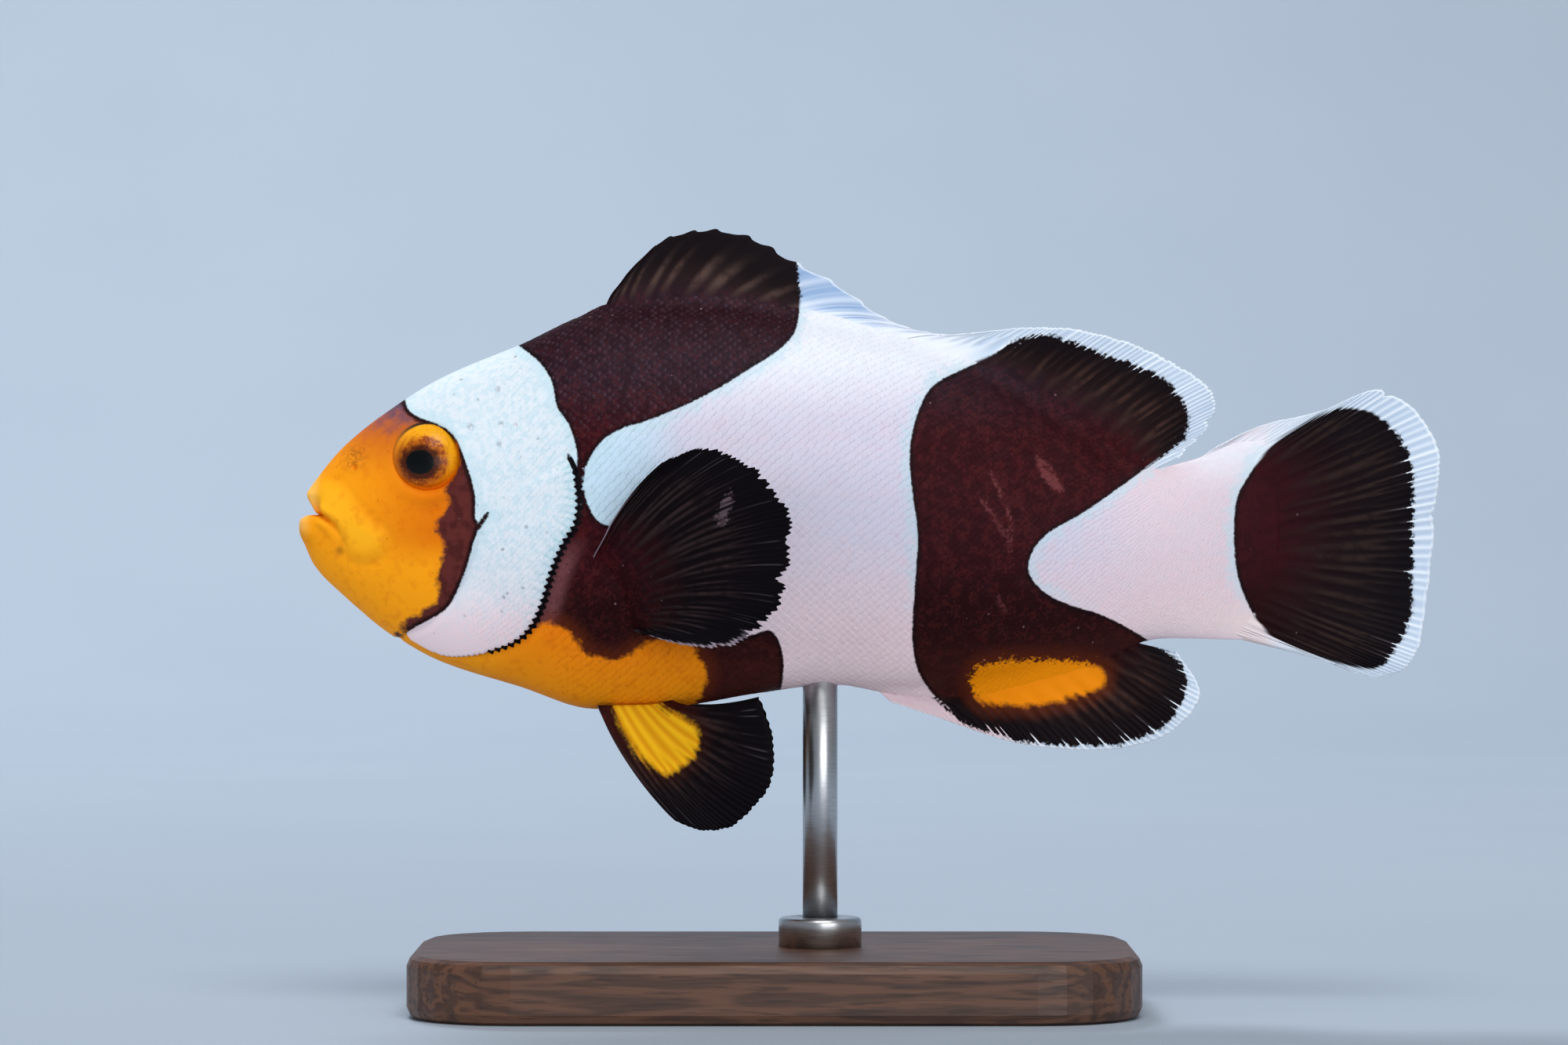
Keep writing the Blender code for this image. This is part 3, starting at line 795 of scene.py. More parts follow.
@dataclass(frozen=True)
class FinPaint(FishPaint):
    """The fish's colours on fins: streaked along the rays, and thin and pale at the edge.

    Attributes:
        roughness: of the fin's surface.
        branched: True where the rays split in two and then in four.
        clear: how much shows through a pale fin between its rays.
        ray_white, gap_white: pale rays and the skin between them.
        dark, streak: dark skin and the rays in it.
        foot: how far up, as a share of a ray, a pale fin stays opaque.
        jag: how far the dark runs out along some branches.
        thin: above 1 narrows the pale rays, below 1 widens them.
        reach: how far up a ray the body's browns pass into the fin's.
        spikes: how far the thinnest pale lines run into the dark.
        lead_line: how strong the painted highlight along the foremost ray and the hind rays' edge
            is.
        bleed: how much white passes over the tail's upper and lower feet.
        tips: how pale the thin marks near the edge of the dark skin are.
    """

    roughness: float = 0.5
    branched: bool = True
    clear: float = 0.42
    ray_white: Colour = srgb(238, 244, 251)
    gap_white: Colour = srgb(200, 217, 236)
    dark: Colour = srgb(28, 15, 16)
    streak: Colour = srgb(62, 42, 37)
    foot: float = 0.30
    jag: float = 0.22
    thin: float = 1.4
    reach: float = 0.45
    spikes: float = 0.7
    lead_line: float = 0.0
    bleed: float = 0.0
    tips: float = 0.30

    def dark_skin(self, r: FinRecipe) -> Socket:
        """The fin's brown and black, streaked by the rays, with its orange patch.

        Args:
            r: the sheet.

        Returns:
            The colour.
        """
        along, margin = r.along, r.margin
        rays = r.plus(r.product(r.strand, 0.7), r.comb, 0.6)
        scar = r.plus(r.field("scar"), r.rough, 1.2)
        # lead: where the painted highlight lies, on the foremost ray near the foot and on the hind
        # rays' edge
        lead = r.most(r.mask((r.ray, 0.16, 0.04), (along, 0.70, 0.25), self.lead_line),
                      r.mask((r.ray, 13.2, 14.6), (margin, 0.50, 0.15), self.lead_line, 1.3))
        warm = r.plus(r.plus(r.field("orange"), r.off, 0.4), r.rough, 0.4)
        orange = r.layers(FIN_OCHRE, (FIN_YELLOW, r.plus(0.3, r.comb, 0.6)),
                          (FIN_ORANGE, (r.x, -2.0, 2.0)))
        return r.layers(
            self.browns(r),
            (self.dark, (along, 0.05, self.reach)),
            (self.streak, (rays, 0.45, 1.15), (along, 0.15 * self.reach, self.reach),
             (margin, 0.5, 4.2), (r.mottle, 0.15, 0.60)),
            (LINE_BLACK, (margin, 5.0, 1.8), 0.7),
            (SCAR_GREY, (scar, -0.22, 0.20), (rays, 0.20, 0.75), 0.7),
            (TIP_GREY, (r.strand, 0.70, 0.95), (r.comb, 0.75, 1.0), (margin, 4.2, 1.8),
             (margin, 0.3, 0.8), self.tips),
            # painted highlight
            (PAINTED_HIGHLIGHT_GREY, lead),
            (HALO_BROWN, self.halo(r, warm)),
            (orange, (warm, -0.34, 0.30)))

    def pale_skin(self, r: FinRecipe, line: Socket, bleed: Socket, front: Socket) -> Socket:
        """The fin's white: the body's at its foot, then pale rays with skin between them.

        Args:
            r: the sheet.
            line: 1 on a pale ray, 0 beside it.
            bleed: how much white passes over the tail's feet.
            front: 1 on the low front of the anal fin, which is as white as the belly.

        Returns:
            The colour.
        """
        whites = self.whites(r)
        # top: painted light, the bright white laid over the shade in the notch where the two back
        # fins meet
        top = r.mask(self.shallow(r), (r.z, 40.0, 44.0), 0.7)
        return r.layers(
            self.gap_white,
            (self.ray_white, line),
            (whites, (r.along, 0.55, 0.10)),
            (TOP_WHITE, bleed),
            # painted light over the shade in that notch
            (TOP_WHITE, top),
            (whites, front),
            (whites, (r.x, 31.5, 28.5), self.bleed),
            (self.ray_white, (r.margin, 0.25, 0.08), 0.6))

    def shallow(self, r: FinRecipe) -> Socket:
        """1 where the two back fins meet low down, falling to 0 on either side."""
        return r.ramp(r.sum("ABSOLUTE", r.less(r.x, 4.0)), 5.0, 2.0)

    def border(self, r: FinRecipe) -> Socket:
        """The run into the white, jagged by the rays and spiked near the fins' tips.

        Args:
            r: the sheet.

        Returns:
            The run, above 0 in the white.
        """
        near_tips = r.most(r.ramp(r.x, 29.5, 29.0), r.ramp(r.x, 37.4, 39.4))
        near_tips = r.mask((r.margin, 4.2, 2.8), near_tips)
        spike = r.mask((r.comb, 0.84, 1.0), (r.strand, 0.40, 0.95), near_tips)
        edge = r.plus(r.field("white"), r.off, self.jag)
        edge = r.plus(edge, r.less(r.comb, 0.5), 0.35 * self.jag)
        edge = r.plus(edge, spike, self.spikes)
        return r.plus(edge, r.product(r.fine, near_tips), 0.9)

    def material(self) -> bpy.types.Material:
        """The finished material.

        Returns:
            The material.
        """
        r = FinRecipe(self.name, self.branched)
        line = r.product(r.sum("POWER", r.comb, self.thin), r.plus(0.4, r.strand, 0.6))
        if not self.branched:
            folds = r.wave(6.0, 0.5)
            line = r.most(line, r.product(folds, folds, r.strand, 0.9))
        bleed = r.mask((r.x, 34.5, 27.5), (r.margin, 0.15, 0.5), self.bleed)
        front = r.mask((r.x, 14.0, 8.0), (r.z, 34.0, 30.0))
        whiteness = r.ramp(self.border(r), -0.12, 0.14)
        paint = r.blend(whiteness, self.dark_skin(r), self.pale_skin(r, line, bleed, front))
        opaque = r.most(self.shallow(r), front)
        see = r.mask((r.along, self.foot, 0.75), whiteness, r.plus(1.0, line, -0.9),
                     (r.margin, 0.05, 0.30), r.less(1.0, bleed),
                     r.less(1.0, opaque), self.clear)
        r.set(Base_Color=paint, Roughness=self.roughness, Alpha=r.less(1.0, see))
        r.shader.inputs["Specular IOR Level"].default_value = 0.05
        joints = r.sum("SINE", r.product(r.along, 190.0))
        r.relief(r.plus(r.comb, joints, 0.06), self.bump)
        return r.material


# --- the fish's form ---
@dataclass
class BodyForm:
    """The body's lines and cross-sections, the same as the solids'.

    Attributes:
        back, belly, width: (x, z) or (x, half width) profiles.
        back_taper: above 1 the back is more of a wedge than an ellipse.
        snout, tail: where the skin starts and ends along X.
        nose: how long the snout's rounding is.
        sweep_start, sweep: where the tail's sweep to the left starts, and how far it goes.
    """

    snout: float = -42.5
    tail: float = 31.0
    back: Points = ((-42.5, 37.0), (-42.2, 38.2), (-41.3, 39.6), (-39.4, 41.9), (-36.5, 44.3),
                    (-32.1, 47.1), (-26.2, 49.6), (-19.7, 52.2), (-12.2, 52.5), (-5.2, 51.6),
                    (2.0, 49.9), (9.0, 47.1), (15.0, 43.6), (20.6, 40.3), (24.1, 41.0),
                    (28.4, 42.4), (31.0, 42.5))
    belly: Points = ((-42.5, 36.2), (-42.2, 34.8), (-41.5, 33.1), (-39.4, 30.9), (-36.5, 28.5),
                     (-32.1, 25.9), (-26.2, 24.0), (-20.4, 22.3), (-14.5, 22.5), (-8.1, 23.5),
                     (-2.8, 24.1), (2.5, 23.8), (8.4, 24.4), (13.6, 25.5), (18.7, 26.9),
                     (22.4, 27.6), (28.4, 27.5), (31.0, 27.7))
    width: Points = ((-42.5, 1.2), (-42.2, 1.9), (-41.3, 2.6), (-39.0, 3.6), (-36.0, 4.6),
                     (-33.0, 5.4), (-29.0, 6.2), (-24.0, 6.8), (-17.0, 7.1), (-8.0, 6.8),
                     (0.0, 6.0), (8.0, 4.8), (15.0, 3.5), (20.0, 2.7), (25.0, 1.9), (28.4, 1.0),
                     (31.0, 0.22))
    back_taper: float = 1.12
    nose: float = 0.55
    sweep_start: float = 2.0
    sweep: float = 2.0

    def lines(self, x: Array) -> tuple[Array, Array, Array]:
        """Heights of the back, the belly and the widest line at x."""
        top, bottom = profile(self.back, x), profile(self.belly, x)
        return top, bottom, 0.5 * (top + bottom)

    def half_width(self, x: Array, z: Array) -> Array:
        """Half the body's width at a place in the side view, from the ellipse of its section.

        Args:
            x, z: the place.

        Returns:
            The half width.
        """
        top, bottom, middle = self.lines(x)
        rise = np.where(z > middle, (z - middle) / (top - middle), (middle - z) / (middle - bottom))
        side = np.sqrt(np.clip(1.0 - np.clip(rise, 0.0, 1.0) ** 2, 0.0, 1.0))
        return profile(self.width, x) * side ** np.where(z > middle, self.back_taper, 1.0)

    def section(self, x: Array, turn: Array) -> Array:
        """Points (x, y, z) of the body.

        Args:
            x: stations along the body.
            turn: the angle from the back (0) down the left side and round.

        Returns:
            y = -width * sin(turn) and z = middle + half depth * cos(turn); the snout's sections
            shrink to a point as a quarter circle does.
        """
        top, bottom, middle = self.lines(x)
        q = np.clip((x - self.snout) / self.nose, 0.0, 1.0)
        shrink = np.sqrt(np.clip(1.0 - (1.0 - q) ** 2, 0.0, 1.0))
        rise, side = np.cos(turn), np.sin(turn)
        power = np.where(rise > 0.0, self.back_taper, 1.0)
        y = -profile(self.width, x) * shrink * np.sign(side) * np.abs(side) ** power
        z = middle + shrink * rise * np.where(rise > 0.0, top - middle, middle - bottom)
        return np.stack(np.broadcast_arrays(x, y, z), axis=-1)

    def bend(self, points: Array) -> Array:
        """The points with the tail's sweep added: y falls by sweep * reach^2.

        Args:
            points: rows of (x, y, z).

        Returns:
            The bent points.
        """
        bent = np.array(points, float)
        reach = np.clip((bent[..., 0] - self.sweep_start) / (-self.snout - self.sweep_start),
                        0.0, None)
        bent[..., 1] -= self.sweep * reach ** 2
        return bent


def outline(border: Points, corners: Points = (), steps: int = 5) -> Array:
    """A smooth border through points, closed by straight lines over far corners."""
    smooth = fan(border, steps * (len(border) - 1) + 1)
    return np.vstack([smooth, np.array(corners, float)]) if corners else smooth


@dataclass
class Markings:
    """The colour fields of the side view, the same on both sides of the fish.

    Each border is a short smooth line; corners far outside the fish close it. The fields are
    signed distances in millimetres, above 0 inside the colour.

    Attributes:
        eye: the eye's middle in the side view, (x, z).
    """

    eye: tuple[float, float] = (-33.05, 41.15)

    def __post_init__(self) -> None:
        """Works out the outlines."""
        self.face = outline(
            ((-35.9, 46.5), (-34.9, 45.0), (-33.9, 43.9), (-30.9, 42.5), (-30.9, 40.2),
             (-31.7, 38.8), (-31.4, 37.7), (-32.4, 36.0), (-31.8, 34.7), (-31.9, 33.5),
             (-32.4, 32.1), (-32.1, 30.7), (-33.2, 29.7), (-34.7, 28.8), (-35.3, 28.0),
             (-36.2, 26.5)), ((-37.5, 20.0), (-60.0, 20.0), (-60.0, 60.0), (-38.0, 60.0)))
        self.head_bar = outline(
            ((-34.9, 47.5), (-34.6, 45.2), (-33.8, 44.3), (-31.9, 43.5), (-30.8, 42.5),
             (-29.9, 40.3), (-29.4, 38.2), (-29.4, 36.7), (-29.1, 36.1), (-29.5, 34.8),
             (-30.3, 32.2), (-31.5, 29.9), (-33.1, 28.9), (-34.3, 28.2), (-34.5, 27.7),
             (-33.0, 26.8), (-31.3, 26.35), (-28.6, 26.6), (-26.7, 27.3), (-25.4, 28.3),
             (-24.5, 30.0), (-23.8, 32.4), (-22.9, 34.6), (-22.0, 36.0), (-21.75, 37.8),
             (-21.95, 39.6), (-21.75, 41.2), (-22.3, 43.4), (-23.3, 45.0), (-23.7, 46.9),
             (-24.7, 48.4), (-26.2, 49.6)), ((-28.0, 56.0), (-36.0, 56.0)))
        self.rear = outline(
            ((-5.3, 62.0), (-5.3, 55.6), (-5.1, 53.2), (-5.4, 50.8), (-6.6, 49.3), (-8.9, 47.8),
             (-11.3, 46.3), (-13.9, 45.0), (-16.6, 43.9), (-18.3, 43.4), (-19.8, 42.5),
             (-20.9, 41.0), (-21.3, 39.4), (-21.0, 37.7), (-20.1, 36.3), (-18.6, 35.8),
             (-15.5, 34.0), (-12.5, 29.5), (-10.5, 27.6), (-8.6, 27.9), (-7.2, 28.2),
             (-6.4, 26.5), (-6.4, 24.4), (-7.0, 22.0)), ((-7.0, 5.0), (60.0, 5.0), (60.0, 62.0)))
        self.band = outline(
            ((10.3, 49.5), (8.2, 48.3), (6.2, 47.4), (4.6, 46.3), (3.6, 44.2), (3.1, 41.5),
             (3.3, 38.6), (3.7, 35.4), (3.5, 31.6), (3.3, 27.6), (3.8, 25.0), (5.3, 22.9),
             (7.3, 21.3), (10.5, 20.15), (13.3, 19.7), (16.5, 19.65), (19.3, 19.85), (21.7, 20.8),
             (23.2, 22.4), (23.8, 24.3), (23.0, 26.1), (21.3, 27.2), (19.6, 28.3), (17.4, 29.4),
             (14.6, 30.3), (12.8, 31.4), (12.0, 32.8), (12.4, 34.3), (13.6, 35.6), (15.7, 36.8),
             (18.2, 38.5), (20.5, 40.2), (22.5, 41.7), (23.7, 42.8), (23.9, 44.4), (23.1, 46.0),
             (21.2, 47.6), (18.4, 48.6), (15.8, 49.6), (13.2, 50.3), (11.6, 50.1), (10.3, 49.5)))
        self.tail_disc = outline(
            ((27.3, 35.2), (27.5, 38.0), (28.6, 40.1), (30.2, 42.1), (32.1, 43.4), (34.6, 44.7),
             (36.7, 44.8), (38.4, 43.9), (39.7, 42.5), (40.5, 40.4), (40.6, 37.8), (40.7, 35.2),
             (40.5, 32.0), (40.4, 29.5), (39.5, 27.3), (38.1, 25.5), (36.3, 25.5), (33.8, 26.2),
             (31.4, 27.1), (29.5, 28.4), (28.2, 30.5), (27.5, 32.8), (27.3, 35.2)))
        self.belly = outline(
            ((-35.0, 28.2), (-33.1, 27.6), (-31.3, 27.2), (-28.6, 27.3), (-26.6, 27.6),
             (-24.9, 28.6), (-23.6, 28.7), (-22.2, 27.9), (-21.0, 26.5), (-19.3, 26.0),
             (-17.8, 26.4), (-16.5, 27.3), (-14.4, 27.6), (-13.1, 26.8), (-12.2, 25.4),
             (-12.3, 24.0), (-12.9, 22.4), (-13.2, 20.0)), ((-13.2, 15.0), (-36.0, 15.0)))
        self.pelvic_patch = outline(
            ((-19.1, 23.4), (-18.8, 21.9), (-17.9, 20.2), (-16.8, 18.7), (-15.0, 17.6),
             (-13.2, 18.7), (-12.6, 20.6), (-13.9, 21.7), (-15.3, 22.3), (-15.8, 23.4)))
        self.anal_patch = outline(
            ((7.7, 24.4), (8.5, 25.5), (11.0, 25.9), (14.5, 25.9), (17.0, 25.6), (17.7, 24.7),
             (16.4, 23.6), (13.2, 22.8), (10.2, 22.6), (8.3, 23.1), (7.7, 24.4)))
        self.strap = outline(
            ((-41.6, 39.6), (-39.6, 38.9), (-38.5, 37.4), (-37.4, 36.3), (-36.3, 35.3),
             (-36.5, 34.0), (-37.9, 33.5), (-39.0, 34.2), (-39.7, 36.0), (-41.2, 37.0),
             (-42.4, 38.2), (-41.6, 39.6)))
        self.gill_line = fan(
            ((-22.6, 41.3), (-22.2, 40.7), (-21.85, 39.6), (-21.7, 37.8), (-21.9, 36.2),
             (-22.8, 34.7), (-23.7, 32.6), (-24.4, 30.2), (-25.3, 28.4), (-26.6, 27.3),
             (-28.6, 26.6)), 60)
        self.spine = np.array(((-29.2, 35.9), (-28.5, 36.95)))
        self.scars = (fan(((9.2, 40.0), (10.1, 38.1), (10.7, 36.1), (10.6, 34.2)), 20),
                      fan(((8.5, 38.0), (9.3, 36.9), (10.1, 35.5)), 12),
                      fan(((9.7, 30.7), (10.2, 29.6)), 6))
        self.grazes = (outline(((12.5, 41.4), (13.5, 40.7), (14.6, 38.9), (14.2, 38.5),
                                (13.0, 39.7), (12.5, 41.4))),
                       outline(((-11.3, 36.0), (-11.0, 37.6), (-10.2, 38.7), (-10.3, 37.3),
                                (-10.8, 36.3), (-11.3, 36.0))))

    @staticmethod
    def side_view(points: Array) -> tuple[Array, Array]:
        """Where points appear in the side view: nearer ones lie further from its middle.

        Args:
            points: rows of (x, y, z).

        Returns:
            x and z, each middle + (place - middle) * distance / (distance - |y|).
        """
        grow = VIEW_DISTANCE / (VIEW_DISTANCE - np.abs(points[..., 1]))
        return (VIEW_MIDDLE[0] + (points[..., 0] - VIEW_MIDDLE[0]) * grow,
                VIEW_MIDDLE[1] + (points[..., 2] - VIEW_MIDDLE[1]) * grow)

    def fields(self, points: Array) -> dict[str, Array]:
        """The markings' fields at points, in millimetres.

        Args:
            points: rows of (x, y, z).

        Returns:
            white, orange, strap and scar as signed distances; gill, the distance in front of the
            gill opening's edge; gill_run, the run along it; gill_edge, 1 beside it and 0 past
            its ends.
        """
        x, z = (place.ravel() for place in self.side_view(points))
        white = np.maximum(inside(x, z, self.head_bar),
                           np.minimum(inside(x, z, self.rear),
                                      np.minimum(-inside(x, z, self.band),
                                                 -inside(x, z, self.tail_disc))))
        white = np.minimum(white, to_line(x, z, self.spine)[0] - 0.17)
        orange = np.maximum(np.maximum(inside(x, z, self.face), inside(x, z, self.belly)),
                            inside(x, z, self.anal_patch))
        gap, run = to_line(x, z, self.gill_line)
        line = self.gill_line[::-1]
        ahead = np.where(x < np.interp(z, line[:, 1], line[:, 0]), gap, -gap)
        length = np.hypot(*np.diff(self.gill_line, axis=0).T).sum()
        beside = ((run > 0.05) & (run < length - 0.05) & (gap < 3.0)).astype(float)
        scar = np.max([0.15 - to_line(x, z, line)[0] for line in self.scars]
                      + [inside(x, z, area) for area in self.grazes], axis=0)
        return {"white": white, "orange": orange, "strap": inside(x, z, self.strap),
                "scar": scar, "gill": ahead, "gill_run": run, "gill_edge": beside}


# --- skin ---
@dataclass
class Skin:
    """The one skin over head, jaws, gill covers, trunk and tail stalk.

    Attributes:
        form, marks: the body's form and its markings.
        nose_rows, head_rows, body_rows: stations at the snout, on the head and behind it.
        around: points round each station.
        coat: how far the skin lies under the solids' surface.
        nape: where the head's close stations end.
        tail_middle, tail_half, tail_curve: the hind edge bows forwards by tail_curve at
            tail_half above and below tail_middle.
        socket_depth, lid_radius: the eye's hollow and the lid round it.
        mouth: the mouth's line, from the snout back.
        gape_line, gape_depth: the open mouth's height and how far it is cut back.
        upper_lip, lower_lip: how high the lips' rounding is.
        flange: the hind edge of the cheek.
        gill_step, gill_groove: the gill cover's rise over the body and the groove behind it.
        nostril, pores: where they lie, (x, z).
        fin_boss: the middle of the swelling at the pectoral fin's foot, (x, z).
    """

    form: BodyForm
    marks: Markings
    nose_rows: int = 34
    head_rows: int = 236
    body_rows: int = 156
    around: int = 236
    coat: float = 0.07
    nape: float = -20.5
    tail_middle: float = 35.0
    tail_half: float = 7.7
    tail_curve: float = 0.9
    socket_depth: float = 1.15
    lid_radius: float = 2.95
    mouth: Points = ((-43.6, 37.3), (-42.0, 37.15), (-41.1, 36.85), (-40.2, 36.2), (-39.5, 35.2),
                     (-39.1, 34.4))
    gape_line: float = 37.03
    gape_depth: float = 1.12
    upper_lip: float = 1.55
    lower_lip: float = 0.78
    gill_step: float = 0.34
    gill_groove: float = 0.12
    flange: Points = ((-30.6, 43.6), (-29.3, 41.5), (-28.9, 39.0), (-28.9, 36.2), (-29.6, 33.6),
                      (-30.9, 31.0), (-33.0, 28.8), (-35.6, 27.6))
    nostril: tuple[float, float] = (-38.5, 40.5)
    pores: Points = ((-39.1, 34.0), (-38.2, 32.4), (-36.6, 31.0), (-34.8, 30.2), (-36.9, 38.4),
                     (-35.6, 37.0), (-34.2, 36.4), (-32.8, 36.8), (-37.4, 42.0), (-35.8, 43.0),
                     (-31.2, 38.6), (-30.9, 34.6))
    fin_boss: tuple[float, float] = (-19.6, 31.0)

    def stations(self) -> Array:
        """Places along X: a quarter circle of them at the snout, then even steps.

        Returns:
            The places.
        """
        swing = np.linspace(0.0, math.pi / 2.0, self.nose_rows, endpoint=False)
        nose_end = self.form.snout + self.form.nose
        nose = self.form.snout + self.form.nose * (1.0 - np.cos(swing))
        head = np.linspace(nose_end, self.nape, self.head_rows, endpoint=False)
        return np.concatenate([nose, head, np.linspace(self.nape, self.form.tail,
                                                       self.body_rows)])

    def sheaths(self, points: Array) -> Array:
        """Adds the scaly sheaths that carry the back and anal fins up from the body.

        The ridge is height(x) * exp(-(y / 0.7)^2), up on the back and down on the belly.

        Args:
            points: rows of (x, y, z).

        Returns:
            The raised points.
        """
        x, y, z = points[..., 0], points[..., 1], points[..., 2]
        middle = self.form.lines(x)[2]
        over = profile(((-21.5, 0.0), (-18.5, 0.7), (-12.0, 1.1), (-5.0, 0.9), (2.0, 0.6),
                        (5.0, 0.7), (11.0, 1.4), (18.0, 1.2), (21.5, 0.0)), x)
        under = profile(((-1.5, 0.0), (2.5, 0.5), (9.0, 1.25), (16.0, 1.1), (20.5, 0.0)), x)
        lift = np.where(z > middle, over, -under) * bell(y, 0.7)
        raised = points.copy()
        raised[..., 2] += lift
        return raised

    def socket_relief(self, x: Array, z: Array) -> Array:
        """The hollow under the eyeball and the lid round it, fullest low and to the rear.

        The hollow is a soft step of the distance to the eye's middle, and the lid a bell.

        Args:
            x, z: places in the side view.

        Returns:
            The height.
        """
        ex, ez = self.marks.eye
        gap = np.hypot(x - ex, z - ez)
        low_rear = np.clip((0.65 * (x - ex) - 0.75 * (z - ez)) / 2.9, 0.0, 1.0)
        return ((0.05 + 0.22 * low_rear) * bell(gap - self.lid_radius, 0.5)
                - self.socket_depth * (1.0 - ease(gap, 2.1, 2.62)))

    def mouth_relief(self, x: Array, z: Array) -> Array:
        """The mouth's cleft, the lips along it and the gape between them.

        Cleft and lips are bells of the distance to the mouth's line, shallower to the rear.
        The gape is an eased step up to the upper lip and a quarter circle down to the lower.

        Args:
            x, z: places in the side view.

        Returns:
            The height.
        """
        cleft, run = to_line(x, z, fan(self.mouth, 40))
        shallow = 1.0 - 0.90 * ease(run, 2.2, 5.2)
        above = z - self.gape_line
        below = np.sqrt(1.0 - (1.0 - np.clip(-above / self.lower_lip, 0.0, 1.0)) ** 2)
        gape = 1.0 - np.where(above > 0.0, ease(above, 0.0, self.upper_lip), below)
        return (0.17 * shallow * ease(x, -42.0, -40.9) * bell(cleft - 0.52, 0.30)
                - 0.60 * shallow * bell(cleft, 0.17)
                - self.gape_depth * gape * ease(x, -40.8, -41.7)
                + 0.27 * bell(z - 35.65, 0.90) * ease(x, -41.0, -41.8))

    def cheek_relief(self, x: Array, z: Array) -> Array:
        """The raised jaw strap with its groove, and the step at the cheek's hind edge.

        Args:
            x, z: places in the side view.

        Returns:
            The height.
        """
        strap = inside(x, z, self.marks.strap)
        flange = fan(self.flange, 40)
        gap, _ = to_line(x, z, flange)
        cheek = np.where(x < np.interp(z, flange[::-1, 1], flange[::-1, 0]), 1.0, -1.0) * gap
        return (0.17 * ease(strap, -0.45, 0.75) * ease(x, -41.6, -40.4)
                - 0.05 * bell(strap + 0.45, 0.28) * ease(x, -40.6, -39.6)
                + 0.10 * ease(cheek, -0.15, 0.15) * (1.0 - ease(cheek, 0.3, 3.5))
                - 0.06 * bell(cheek + 0.25, 0.22))

    def gill_relief(self, x: Array, z: Array) -> Array:
        """The gill cover's hind edge, a step with a groove behind it, and the fin's boss.

        Args:
            x, z: places in the side view.

        Returns:
            The height.
        """
        gap, run = to_line(x, z, self.marks.gill_line)
        ahead = np.where(inside(x, z, self.marks.head_bar) > 0.0, gap, -gap)
        step = self.gill_step * ease(ahead, -0.12, 0.14) * (1.0 - ease(ahead, 1.0, 6.0))
        boss_x, boss_z = self.fin_boss
        return ((step - self.gill_groove * bell(ahead + 0.4, 0.35)) * ease(run, 0.0, 1.2)
                + 0.55 * bell(x - boss_x, 1.9) * bell(z - boss_z, 2.7))

    def pit_relief(self, x: Array, z: Array) -> Array:
        """The nostril, a small ring round a pit, and the pores, each a bell sunk in.

        Args:
            x, z: places in the side view.

        Returns:
            The height.
        """
        away = np.hypot(x - self.nostril[0], z - self.nostril[1])
        height = 0.10 * bell(away - 0.34, 0.14) - 0.35 * bell(away, 0.20)
        for pore_x, pore_z in self.pores:
            height -= 0.09 * bell(np.hypot(x - pore_x, z - pore_z), 0.13)
        return height

    def relief(self, x: Array, z: Array) -> Array:
        """Height of all the modelled features over the plain form."""
        return (self.socket_relief(x, z) + self.mouth_relief(x, z) + self.cheek_relief(x, z)
                + self.gill_relief(x, z) + self.pit_relief(x, z))

    def shape(self) -> None:
        """Works out the skin's grid of points, its outward normals and its fields.

        The point is section(x, turn) + sheath + normal * (relief - coat).
        """
        self.x = self.stations()
        turns = np.linspace(0.0, 2.0 * math.pi, self.around, endpoint=False)
        plain = self.sheaths(self.form.section(self.x[:, None], turns[None, :]))
        plain[-1, :, 1] = 0.0
        curve = ((plain[..., 2] - self.tail_middle) / self.tail_half) ** 2
        plain[..., 0] -= self.tail_curve * curve * ease(plain[..., 0], 24.0, self.form.tail)
        wrapped = np.concatenate([plain[:, -2:], plain, plain[:, :2]], axis=1)
        normal = grid_normals(wrapped)[:, 2:-2]
        normal[0] = (-1.0, 0.0, 0.0)
        height = self.relief(*self.marks.side_view(plain)) - self.coat
        height *= ease(self.x[:, None], self.form.tail, self.form.tail - 2.0)
        self.plain = plain
        self.points = self.form.bend(plain + normal * height[..., None])
        self.normals = normal
        self.fields = {name: value.reshape(height.shape)
                       for name, value in self.marks.fields(plain).items()}
        # facing is the normal's upward share; the paints lay painted shade on faces turned up and
        # painted fill light on faces turned down by it
        self.fields["facing"] = normal[..., 2]

    def station(self, x: Array) -> Array:
        """The fractional station at x."""
        return np.interp(x, self.x, np.arange(len(self.x)))

    def sample(self, grid: Array, row: Array, column: Array) -> Array:
        """A grid of values read between its points.

        Args:
            grid: values by station and by point round it.
            row, column: fractional places; columns wrap round.

        Returns:
            The mean of the four nearest values, weighted by nearness.
        """
        row = np.clip(row, 0.0, len(self.x) - 1.001)
        i, j = np.floor(row).astype(int), np.floor(column).astype(int)
        s, t = row - i, column - j
        if grid.ndim == 3:
            s, t = s[..., None], t[..., None]
        j, k = j % self.around, (j + 1) % self.around
        return ((grid[i, j] * (1 - t) + grid[i, k] * t) * (1 - s)
                + (grid[i + 1, j] * (1 - t) + grid[i + 1, k] * t) * s)

    def build(self, paint: bpy.types.Material) -> None:
        """Makes the skin in place of the flesh solids.

        Args:
            paint: the skin's material.
        """
        quads = grid_faces(len(self.x), self.around, closed=True)
        piece = Piece("skin", self.points, quads, fields=self.fields)
        piece.build(paint, "orange_skin",
                    ("head", "lower_jaw", "upper_jaw_left", "upper_jaw_right",
                     "gill_cover_left", "gill_cover_right", "trunk", "tail_stalk"), weld=0.004)


